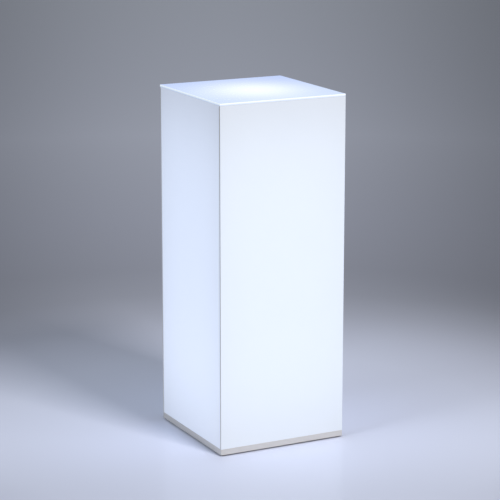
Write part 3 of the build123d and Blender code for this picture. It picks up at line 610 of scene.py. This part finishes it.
# ------------------------------------------------------------------------------
# Locating board: the same fibreboard with a white melamine face, which throws the light back
# into the cover. Its sawn edge and its lead-in chamfer are left bare.
# ------------------------------------------------------------------------------
locator_finish, tree, shader = new_finish("white_melamine")
melamine_mask = ramp_between(facing_on(tree)[2], 0.95, 0.99)
melamine_grain = place_group(tree, grain, Scale=1100.0, Detail=2.0)
melamine_marks = place_group(tree, handling, Scale=38.0)
raw_board = place_group(tree, fibre)
melamine_colour = mixed_colour(melamine_grain["Cloud"], (0.765, 0.765, 0.755), (0.815, 0.815, 0.805))
melamine_colour = mixed_colour(melamine_marks["Scratches"] * 0.22, melamine_colour, (0.50, 0.49, 0.47))
feed(
    shader,
    Base_Color=mixed_colour(melamine_mask, raw_board["Colour"], melamine_colour),
    Roughness=spread(melamine_mask, 0.85, 0.36),
)
bump(shader, melamine_grain["Grain"] * 0.2 + raw_board["Height"] * (1.0 - melamine_mask), 0.06)
dress(locator_finish, "locator_board")

# ------------------------------------------------------------------------------
# Post flange and cap: plates of aluminium, brushed one way and left natural. The flange is held
# down by four wood screws, and the cap by four screws into the ports of the post.
# ------------------------------------------------------------------------------
def aluminium_finish(name, stretch, line_scale, line_depth):
    """Natural aluminium with drawn or brushed lines along one way."""
    finish, tree, shader = new_finish(name, metallic=1.0)
    lines = place_group(tree, grain, Stretch=stretch, Scale=line_scale, Detail=4.0)
    soft = place_group(tree, grain, Scale=260.0)
    marks = place_group(tree, handling, Scale=52.0)
    tone = ramp_between(lines["Grain"] * 0.7 + soft["Cloud"] * 0.3, 0.3, 0.7)
    feed(
        shader,
        Base_Color=mixed_colour(tone, (0.62, 0.63, 0.645), (0.77, 0.775, 0.785)),
        Roughness=spread(lines["Grain"], 0.28, 0.46) + marks["Rub"] * 0.06,
    )
    bump(shader, lines["Grain"] + marks["Scratches"] * -0.8, line_depth)
    return finish


dress(aluminium_finish("brushed_aluminium_plate", (1.0, 0.03, 1.0), 1500.0, 0.012), "post_flange", "post_cap")

# ------------------------------------------------------------------------------
# Lamp post: an extruded section with a lipped channel in each face. The die leaves fine lines
# along its whole length.
# ------------------------------------------------------------------------------
dress(aluminium_finish("extruded_aluminium", (1.0, 1.0, 0.006), 1700.0, 0.016), "lamp_post")

# ------------------------------------------------------------------------------
# LED strips: rigid boards with a white mask, slid down the channels. Tinned pads at both ends
# take the leads, and a small resistor follows every third LED.
# ------------------------------------------------------------------------------
strip_bottom = 66.0
strip_top = 764.4
strip_middle = (strip_bottom + strip_top) / 2
strip_face = 19.0
pad_inset = 4.0
lead_half = 2.5
led_pitch = 20.0
led_count = 35
resistor_count = 12
side_turns = {"right": 0, "rear": 90, "left": 180, "front": 270}

board_finish, tree, shader = new_finish("white_mask_board")
x, y, z = place_on(tree)
across = reckon("MINIMUM", abs(x), abs(y))
pad_height = (strip_top - strip_bottom) / 2 - pad_inset
pad_across = abs(across - lead_half * mm)
pad_along = abs(abs(z - strip_middle * mm) - pad_height * mm)
pad_mask = ramp_between(pad_across, 1.65 * mm, 1.5 * mm) * ramp_between(pad_along, 2.85 * mm, 2.7 * mm)
track_mask = ramp_between(abs(across - 3.9 * mm), 0.55 * mm, 0.4 * mm)
board_grain = place_group(tree, grain, Scale=900.0)
mask_colour = mixed_colour(board_grain["Cloud"], (0.80, 0.815, 0.80), (0.87, 0.88, 0.865))
mask_colour = mixed_colour(track_mask * 0.5, mask_colour, (0.74, 0.74, 0.70))
feed(
    shader,
    Base_Color=mixed_colour(pad_mask, mask_colour, (0.62, 0.62, 0.60)),
    Metallic=pad_mask,
    Roughness=spread(board_grain["Grain"], 0.26, 0.44),
)
bump(shader, track_mask + board_grain["Grain"] * 0.2, 0.035)
dress(board_finish, "led_strip_front", "led_strip_rear", "led_strip_left", "led_strip_right")

package_finish, _, _ = grained_finish(
    "led_package_body", 1500.0, (0.84, 0.84, 0.82), (0.90, 0.90, 0.885), 0.3, 0.004
)
phosphor_finish, shader, phosphor = grained_finish(
    "led_phosphor", 2600.0, (0.88, 0.80, 0.42), (0.93, 0.88, 0.56), 0.25, tone="Grain"
)
feed(shader, Emission_Color=mixed_colour(phosphor["Cloud"], (0.86, 0.93, 1.0), (0.95, 0.98, 1.0)))
shader.inputs["Emission Strength"].default_value = 3.0
tin_finish, _, _ = grained_finish(
    "tinned_solder", 1300.0, (0.66, 0.67, 0.68), (0.80, 0.80, 0.79), (0.14, 0.36), 0.01, metallic=1.0
)
resistor_finish, _, _ = grained_finish(
    "resistor_body", 2000.0, (0.015, 0.016, 0.018), (0.05, 0.05, 0.055), 0.4, 0.005, tone="Grain"
)


def block_between(shape, low, high, finish_index=0):
    """A small block between two corners, with its top edges taken off, added to a shape."""
    low, high = Vector(low) * mm, Vector(high) * mm
    size, centre = high - low, (low + high) / 2
    made = bmesh.ops.create_cube(shape, size=1.0)["verts"]
    bmesh.ops.scale(shape, vec=size, verts=made)
    bmesh.ops.translate(shape, vec=centre, verts=made)
    edges = {edge for vert in made for edge in vert.link_edges}
    top_edges = [edge for edge in edges if all(vert.co.z > centre.z for vert in edge.verts)]
    for face in {face for vert in made for face in vert.link_faces}:
        face.material_index = finish_index
    bmesh.ops.bevel(shape, geom=top_edges, offset=min(size) * 0.18, segments=1, affect="EDGES")


# One LED package: a moulded body with a round window, and three bent terminals on each side.
package_profile = [
    (0, 0), (2.5, 0, True), (2.5, 1.48, True), (2.38, 1.6, True), (2.12, 1.6), (1.98, 1.46), (0, 1.46),
]
package_shape = turned(package_profile, window=5)
for low_x, high_x in ((-2.68, -2.3), (2.3, 2.68)):
    for row in (-1.6, 0.0, 1.6):
        block_between(package_shape, (low_x, row - 0.4, 0.0), (high_x, row + 0.4, 0.62), 2)
led_package = as_mesh("led_package", package_shape, package_finish, phosphor_finish, tin_finish)

resistor_shape = bmesh.new()
block_between(resistor_shape, (-0.62, -0.62, 0), (0.62, 0.62, 0.45))
block_between(resistor_shape, (-1.0, -0.64, 0), (-0.62, 0.64, 0.48), 1)
block_between(resistor_shape, (0.62, -0.64, 0), (1.0, 0.64, 0.48), 1)
resistor = as_mesh("resistor", resistor_shape, resistor_finish, tin_finish)

solder_profile = [(0, -0.05), (1.35, -0.05), (1.3, 0.18), (0.95, 0.62), (0.62, 1.05), (0, 1.25)]
solder_joint = as_mesh("solder_joint", turned(solder_profile, segments=16), tin_finish, crease=60)


def on_strip(turn, height, across=0.0):
    """A place on a strip's face whose own z points outwards."""
    return spun(radians(turn)) @ moved(strip_face, across, height) @ spun(pi / 2, "Y")


for side, turn in side_turns.items():
    first_led = strip_middle - (led_count - 1) / 2 * led_pitch
    places = [on_strip(turn, first_led + count * led_pitch) for count in range(led_count)]
    packages = repeated("led_packages_" + side, led_package, places)
    add_piece("led_packages_" + side, packages, "base", "led_phosphor", "led_chips_" + side)

    places = [on_strip(turn, first_led + (3 * count + 0.5) * led_pitch) for count in range(resistor_count)]
    resistors = repeated("resistors_" + side, resistor, places)
    add_piece("strip_resistors_" + side, resistors, "base", "circuit_board")

    pad_heights = (strip_bottom + pad_inset, strip_top - pad_inset)
    places = [on_strip(turn, height, sign * lead_half) for height in pad_heights for sign in (-1, 1)]
    joints = repeated("solder_joints_" + side, solder_joint, places, crease=60)
    add_piece("solder_joints_" + side, joints, "base", "zinc_steel")

# ------------------------------------------------------------------------------
# Top lamp: a dish turned from aluminium bar, natural, with the marks of the tool round it. It
# holds a round board of twelve LEDs under a frosted lens.
# ------------------------------------------------------------------------------
lamp_board_top = 797.0
led_rings = {6.0: 4, 18.0: 8}  # radius and number of LEDs

dish_finish, tree, shader = new_finish("turned_aluminium", metallic=1.0)
x, y, z = place_on(tree)
tool_marks = Level(add_node(
    tree,
    "ShaderNodeTexNoise",
    {"W": (from_axis(x, y) + z) * 2600.0, "Scale": 1.0, "Detail": 3.0},
    noise_dimensions="1D",
).outputs["Fac"])
feed(
    shader,
    Base_Color=mixed_colour(ramp_between(tool_marks, 0.3, 0.7), (0.64, 0.65, 0.665), (0.80, 0.80, 0.81)),
    Roughness=spread(tool_marks, 0.2, 0.4),
)
bump(shader, tool_marks, 0.014)
dress(dish_finish, "top_lamp_housing")
dress(board_finish, "top_lamp_board")

places = []
for reach, count in led_rings.items():
    places += [spun(2 * pi * step / count) @ moved(reach, 0, lamp_board_top) for step in range(count)]
top_packages = repeated("top_lamp_packages", led_package, places)
add_piece("top_lamp_packages", top_packages, "base", "led_phosphor", "top_lamp_chips")

lens_finish, shader, _ = grained_finish(
    "frosted_lens", 2400.0, (0.34, 0.35, 0.365), (0.39, 0.40, 0.415), (0.45, 0.65), 0.02
)
x, y, z = place_on(lens_finish.node_tree)
lens_radius = from_axis(x, y)
ring_angle = reckon("ARCTAN2", y, x)
ring_lights = []
for reach, count in led_rings.items():
    ring_share = ramp_between(abs(lens_radius - reach * mm), 6.5 * mm, 0.0)
    between_leds = 1.0 - reckon("COSINE", ring_angle * count)
    dip = between_leds * (ramp_between(lens_radius, 0.0, reach * mm) * 0.32)
    ring_lights.append(ring_share * (1.0 - dip))
lens_level = reckon("MAXIMUM", *ring_lights)
feed(shader, Emission_Color=mixed_colour(lens_level, (0.34, 0.40, 0.48), (0.95, 0.98, 1.0)))
shader.inputs["Emission Strength"].default_value = 1.0
dress(lens_finish, "top_lamp_lens")

# ------------------------------------------------------------------------------
# Terminal block and grommet: a moulded strip of natural nylon with two brass barrels and their
# slotted clamp screws, and a black rubber ring in the hole where the leads rise.
# ------------------------------------------------------------------------------
nylon_finish, shader, _ = grained_finish(
    "terminal_nylon", 800.0, (0.74, 0.73, 0.66), (0.82, 0.81, 0.755), (0.28, 0.45), 0.015
)
shader.inputs["Subsurface Weight"].default_value = 0.15
shader.inputs["Subsurface Radius"].default_value = (0.002, 0.0017, 0.0012)
dress(nylon_finish, "terminal_block")

brass_finish, _, _ = grained_finish(
    "brass", 900.0, (0.66, 0.47, 0.20), (0.82, 0.66, 0.36), (0.2, 0.42), 0.008, metallic=1.0
)
dress(brass_finish, "terminal_barrels", "power_socket_pin", "power_socket_lugs", "switch_terminals")

clamp_level = 37.85
clamp_height = 5.0
clamp_x = 4.0
clamp_reach = 4.2
clamp_profile = [
    (0, 0), (1.1, 0), (1.3, 0.4), (1.3, clamp_height - 0.3), (1.1, clamp_height), (0, clamp_height),
]
clamp_spots = [(x, y) for x in (-clamp_x, clamp_x) for y in (block_y - clamp_reach, block_y + clamp_reach)]
slot_shape = bmesh.new()
bmesh.ops.create_cube(slot_shape, size=1.0)
slot_shape.transform(moved(0, 0, clamp_height) @ Matrix.Diagonal((4.0 * mm, 0.5 * mm, 2.0 * mm, 1.0)))
clamp_screw = cut_out(
    "clamp_screw",
    as_mesh("clamp_screw", turned(clamp_profile, segments=20), zinc_finish),
    as_mesh("clamp_slot", slot_shape, zinc_finish),
)
places = [moved(*spot, clamp_level) @ spun(0.9 * count + 0.4) for count, spot in enumerate(clamp_spots)]
clamp_screws = repeated("terminal_screws", clamp_screw, places)
add_piece("terminal_screws_slotted", clamp_screws, "base", "zinc_steel", "terminal_screws")

rubber_finish, _, _ = grained_finish(
    "grommet_rubber", 1300.0, (0.018, 0.018, 0.019), (0.045, 0.045, 0.047), (0.6, 0.82), 0.02
)
dress(rubber_finish, "cable_grommet")

# ------------------------------------------------------------------------------
# Power inlet: a plate of brushed aluminium set back in the rear edge of the plinth by two
# countersunk screws. It carries a moulded socket for a barrel plug, which a nut holds inside.
# ------------------------------------------------------------------------------
plate_face = 174.6
power_axis = 11.0
socket_x = -14.0
switch_x = 12.0
inlet_reach = 34.0
rearward = spun(-pi / 2, "X")


def at_plate(x):
    """A place on the face of the plate whose own z points rearwards."""
    return moved(x, plate_face, power_axis) @ rearward


dress(aluminium_finish("brushed_inlet_plate", (0.03, 1.0, 1.0), 1500.0, 0.012), "power_plate")
dress(zinc_finish, "power_socket_nut")
inlet_screw = screw_mesh("inlet_screw", 5.6, 3.0, 12.0, 6)
places = [at_plate(x) @ spun(0.5 + 0.6 * count) for count, x in enumerate((-inlet_reach, inlet_reach))]
inlet_screws = repeated("power_plate_screws", inlet_screw, places)
add_piece("power_plate_screws_crossed", inlet_screws, "base", "zinc_steel", "power_plate_screws")

black_finish, _, _ = grained_finish(
    "black_nylon", 2200.0, (0.022, 0.022, 0.024), (0.040, 0.040, 0.043), (0.36, 0.56), 0.02, detail=2.0
)


def join_loops(shape, lower, upper, finish_index=0):
    """A band of faces between two loops with as many points."""
    for index in range(len(lower)):
        after = (index + 1) % len(lower)
        face = shape.faces.new((lower[index], lower[after], upper[after], upper[index]))
        face.material_index = finish_index


# Socket for a barrel plug: a flange and a threaded bush turned as one, with a spring contact
# down one side of the bore.
bush_threads = [(4.0 - 0.25 * (step % 2), -2.2 - 0.4 * step) for step in range(20)]
socket_profile = [
    (0, -8.2), (2.8, -8.2), (2.8, 0.95), (3.05, 1.2), (3.5, 1.3), (4.75, 1.3), (5.1, 1.12), (5.2, 0.8),
    (5.2, 0), (4.0, 0), *bush_threads, (3.9, -10.4), (3.6, -10.7), (0, -10.7),
]
socket_shape = turned(socket_profile, segments=40)
spring_line = [(2.75, -8.0), (2.55, -4.5), (1.95, -2.4), (2.45, -0.6), (2.78, -0.3)]
spring_loops = []
for reach, height in spring_line:
    corners = [(reach, -0.8), (reach, 0.8), (reach + 0.18, 0.8), (reach + 0.18, -0.8)]
    spring_loops.append([socket_shape.verts.new(Vector((*corner, height)) * mm) for corner in corners])
for lower, upper in zip(spring_loops, spring_loops[1:]):
    join_loops(socket_shape, lower, upper, 1)
socket_shape.faces.new(spring_loops[0]).material_index = 1
socket_shape.faces.new(spring_loops[-1]).material_index = 1
bmesh.ops.recalc_face_normals(socket_shape, faces=socket_shape.faces)
socket_shape.transform(at_plate(socket_x) @ spun(pi / 2))
socket_mesh = as_mesh("power_socket_turned", socket_shape, black_finish, brass_finish)
add_piece("power_socket_turned", socket_mesh, "base", "black_nylon", "power_socket")


def rounded_loop(shape, half_across, half_high, radius, level, corner_steps=5):
    """The points of a rounded rectangle at one level, in millimetres."""
    loop = []
    for quarter, (sign_x, sign_y) in enumerate(((1, 1), (-1, 1), (-1, -1), (1, -1))):
        for step in range(corner_steps):
            angle = pi / 2 * (quarter + step / (corner_steps - 1))
            x = sign_x * (half_across - radius) + radius * cos(angle)
            y = sign_y * (half_high - radius) + radius * sin(angle)
            loop.append(shape.verts.new(Vector((x, y, level)) * mm))
    return loop


# Switch housing: a moulded box whose bezel is rounded over, outside and into the opening.
housing_rings = [
    (6.6, 4.4, 0.4, -12.0), (6.6, 4.4, 0.4, 0.0), (7.5, 5.25, 0.75, 0.0), (7.5, 5.25, 0.75, 1.1),
    (7.42, 5.17, 0.72, 1.35), (7.2, 4.95, 0.6, 1.5), (6.0, 3.6, 0.4, 1.5), (5.78, 3.38, 0.3, 1.4),
    (5.7, 3.3, 0.25, 1.15), (5.7, 3.3, 0.25, -10.6),
]
housing_shape = bmesh.new()
housing_loops = [rounded_loop(housing_shape, *ring) for ring in housing_rings]
for lower, upper in zip(housing_loops, housing_loops[1:]):
    join_loops(housing_shape, lower, upper)
housing_shape.faces.new(housing_loops[0])
housing_shape.faces.new(housing_loops[-1])
bmesh.ops.recalc_face_normals(housing_shape, faces=housing_shape.faces)
housing_shape.transform(at_plate(switch_x))
housing_mesh = as_mesh("switch_housing_moulded", housing_shape, black_finish)
add_piece("switch_housing_moulded", housing_mesh, "base", "black_nylon", "switch_housing")

# Rocker: two dished halves that meet in a valley, on a keel and two trunnions. A bar marks the
# half that switches on, and a ring the half that switches off, both printed in white.
pivot_y = 174.024
half_throw = radians(10)
rocker_half = 5.0
rocker_face = 1.6
rocker_high = 3.1
dish_depth = 0.2
dish_steps = 12
trunnion_radius = 0.8
trunnion_reach = 4.2
rocker_outline = []
for step in range(-dish_steps, dish_steps + 1):
    reach = rocker_half * step / dish_steps
    dish = dish_depth * sin(pi * abs(step) / dish_steps)
    rocker_outline.append((reach, rocker_face + abs(reach) * tan(half_throw) - dish))
rocker_outline += [(5.0, -1.5), (1.2, -1.5), (1.2, -5.0), (-1.2, -5.0), (-1.2, -1.5), (-5.0, -1.5)]
rocker_shape = bmesh.new()
rocker_low, rocker_top = [
    [rocker_shape.verts.new(Vector((x, y, level)) * mm) for x, y in rocker_outline]
    for level in (-rocker_high, rocker_high)
]
rocker_shape.faces.new(rocker_low)
rocker_shape.faces.new(reversed(rocker_top))
join_loops(rocker_shape, rocker_low, rocker_top)
bmesh.ops.recalc_face_normals(rocker_shape, faces=rocker_shape.faces)
rocker_mesh = reshaped(
    "rocker_body",
    as_mesh("rocker_body", rocker_shape, black_finish),
    "BEVEL",
    width=0.28 * mm,
    segments=3,
    limit_method="ANGLE",
    angle_limit=radians(50),
)

mark_finish, _, _ = grained_finish(
    "white_mark_print", 2600.0, (0.70, 0.70, 0.69), (0.84, 0.84, 0.83), 0.5, 0.004, tone="Grain"
)
trunnion_profile = [
    (0, -trunnion_reach), (trunnion_radius, -trunnion_reach),
    (trunnion_radius, trunnion_reach), (0, trunnion_reach),
]
rocker_parts = bmesh.new()
rocker_parts.from_mesh(rocker_mesh)
rocker_parts.from_mesh(as_mesh("trunnion", turned(trunnion_profile, segments=20), black_finish))
mark_height = 0.09
mark_sink = 0.03
ring_profile = [(0.75, 0.0), (1.1, 0.0), (1.1, mark_height), (0.75, mark_height), (0.75, 0.0)]
ring_mark = turned(ring_profile, segments=32)
bmesh.ops.remove_doubles(ring_mark, verts=ring_mark.verts, dist=0.001 * mm)
bar_mark = bmesh.new()
block_between(bar_mark, (-0.18, -1.1, 0), (0.18, 1.1, mark_height))
mark_reach = 2.7
mark_dish = dish_depth * sin(pi * mark_reach / rocker_half)
mark_level = rocker_face + mark_reach * tan(half_throw) - mark_dish - mark_sink
for side, mark in ((1, bar_mark), (-1, ring_mark)):
    for face in mark.faces:
        face.material_index = 1
    mark.transform(moved(side * mark_reach, mark_level, 0) @ spun(side * half_throw) @ rearward)
    rocker_parts.from_mesh(as_mesh("mark", mark, mark_finish))
rocker_parts.transform(moved(switch_x, pivot_y, power_axis) @ spun(-half_throw))
marked_rocker = as_mesh("switch_rocker_marked", rocker_parts, black_finish, mark_finish)
add_piece("switch_rocker_marked", marked_rocker, "rocker", "black_nylon", "switch_rocker")

# ------------------------------------------------------------------------------
# Leads: fine stranded wire in soft PVC, red for positive and black for negative. They are
# soldered to the strips and clamped in the terminal block.
# ------------------------------------------------------------------------------
red_finish, _, _ = grained_finish(
    "red_insulation", 500.0, (0.42, 0.018, 0.016), (0.56, 0.035, 0.03), (0.3, 0.48), 0.02
)
dress(red_finish, "supply_wire_red", "feed_wire_red", "strip_jumpers_red", "lamp_wire_red", "switch_jumper")
insulator_finish, _, _ = grained_finish(
    "black_insulation", 500.0, (0.012, 0.012, 0.013), (0.028, 0.028, 0.03), (0.3, 0.48), 0.02
)
dress(insulator_finish, "supply_wire_black", "feed_wire_black", "strip_jumpers_black", "lamp_wire_black")

# ------------------------------------------------------------------------------
# Cover: cast opal acrylic, satin outside, with polished edges. The front and rear sheets lap
# the side sheets, so their cut ends show at the corners and glow less than the faces. The top
# sheet is cemented over all four, and its edge carries the light out as a bright line.
# ------------------------------------------------------------------------------
wall_bottom = 19.0 * mm
wall_top = 908.4 * mm
acrylic_ior = 1.49
acrylic_tone = ((0.475, 0.458, 0.445), (0.487, 0.470, 0.457))

# Lamp glow: how brightly the lamps behind a sheet light it, from its place above the floor, in
# metres. It fades as the cover is lifted off the post.
lamp_gap = 0.14
light_top = 0.86
light_bottom = strip_bottom * mm
full_light = 0.97
post_clear = 0.93
stray_reach = 0.9
lens_top = 0.8034
lens_gap = 0.111
spot_radius = 0.092
spot_shift = 0.016
glow, glow_in, glow_out = surface_group(
    "lamp_glow", {"Ambient": 0.7, "Corner fall": 0.1}, ["Wall level", "Spot", "Stray"]
)
x, y, z = parts_of(glow, "ShaderNodeNewGeometry", "Position")
end_shares = []
for difference in (light_top - z, z - light_bottom):
    end_shares.append(difference / reckon("SQRT", difference ** 2 + lamp_gap ** 2))
even_light = (end_shares[0] + end_shares[1]) * 0.5
above_lamps = reckon("MAXIMUM", z - post_clear, 0.0)
stray = 1.0 / ((above_lamps / stray_reach) ** 2 + 1.0)
wall_level = stray * glow_in["Ambient"] + even_light / full_light * (1.0 - glow_in["Ambient"])
across_face = reckon("MINIMUM", abs(x), abs(y))
corner_shade = (across_face / half_width) ** 3 * glow_in["Corner fall"]
nearness = (lens_gap / reckon("MAXIMUM", z - lens_top, lens_gap)) ** 2
spot_spread = (x ** 2 + (y + spot_shift) ** 2) / (-2 * spot_radius ** 2)
feed(
    glow_out,
    Wall_level=wall_level * (1.0 - corner_shade),
    Spot=reckon("EXPONENT", spot_spread) * nearness,
    Stray=stray,
)


def wall_acrylic(name, ends_show, light, ambient, corner_fall):
    """Opal sheet for a wall, lit from behind. The cut ends of a lapping sheet stay dim."""
    finish, tree, shader = new_finish(name, ior=acrylic_ior)
    cast = place_group(tree, grain, Scale=240.0, Detail=2.0)
    marks = place_group(tree, handling, Scale=26.0)
    z = place_on(tree)[2]
    level = place_group(tree, glow, Ambient=ambient, Corner_fall=corner_fall)["Wall level"]
    # Just under the top sheet the glow is painted dimmer, as shade in the joint.
    painted_joint_shade = ramp_between(z, wall_top - 1.6 * mm, wall_top - 0.3 * mm)
    level = level * (1.0 - painted_joint_shade * 0.35)
    if ends_show:
        cut_end = ramp_between(abs(facing_on(tree)[0]), 0.75, 0.95)
        level = level * (1.0 - cut_end * 0.75)
    # The cover is set down on its lower edge, which is a little scuffed.
    set_down = ramp_between(z, wall_bottom + 7.0 * mm, wall_bottom + 0.5 * mm)
    wear = reckon("MAXIMUM", set_down, 0.35) * marks["Rub"]
    feed(
        shader,
        Base_Color=mixed_colour(cast["Cloud"], *acrylic_tone),
        Emission_Color=mixed_colour(level, (0.0, 0.0, 0.0), light),
        Roughness=spread(cast["Grain"], 0.26, 0.34) + marks["Scratches"] * 0.15 + wear * 0.14,
    )
    shader.inputs["Emission Strength"].default_value = 1.0
    bump(shader, cast["Grain"], 0.01)
    return finish


# The side sheets get a brighter, bluer painted glow than the front and rear ones, with less ambient share and
# more painted shade towards their corners.
front_rear_painted_glow = (0.447, 0.543, 0.676)
side_painted_glow = (0.495, 0.585, 0.765)
dress(wall_acrylic("opal_lapping_sheet", True, front_rear_painted_glow, 0.59, 0.065), "front_panel", "rear_panel")
dress(wall_acrylic("opal_side_sheet", False, side_painted_glow, 0.51, 0.125), "left_panel", "right_panel")

top_finish, tree, shader = new_finish("opal_top_sheet", ior=acrylic_ior)
cast = place_group(tree, grain, Scale=240.0, Detail=2.0)
marks = place_group(tree, handling, Scale=30.0)
lamps = place_group(tree, glow)
sheet_spot = add_node(tree, "ShaderNodeTexCoord").outputs["Object"]
# The top sheet's glow is painted lighter towards its front and darker and bluer towards its rear, as the
# light falls.
rearwards = measure("DOT_PRODUCT", tree, sheet_spot, (0.4, 0.917, 0.0))
painted_rear_shade = ramp_between(rearwards, -half_width, half_width)
sheet_glow = mixed_colour(painted_rear_shade, (0.297, 0.422, 0.650), (0.222, 0.342, 0.665))
face_glow = mixed_colour(lamps["Spot"], sheet_glow, (0.64, 0.72, 0.73))
# Up the edge the glow is painted brighter towards the top arris, as a highlight.
painted_arris_highlight = ramp_between(place_on(tree)[2], wall_top + 1.0 * mm, wall_top + 5.2 * mm)
rim_glow = mixed_colour(painted_arris_highlight, (0.33, 0.43, 0.59), (0.62, 0.70, 0.76))
on_rim = ramp_between(abs(facing_on(tree)[2]), 0.8, 0.4)
top_glow = mixed_colour(on_rim, face_glow, rim_glow)
feed(
    shader,
    Base_Color=mixed_colour(cast["Cloud"], *acrylic_tone),
    Emission_Color=mixed_colour(lamps["Stray"], (0.0, 0.0, 0.0), top_glow),
    Roughness=spread(cast["Grain"], 0.22, 0.30) + marks["Scratches"] * 0.2,
)
shader.inputs["Emission Strength"].default_value = 1.0
bump(shader, cast["Grain"], 0.01)
dress(top_finish, "top_panel")
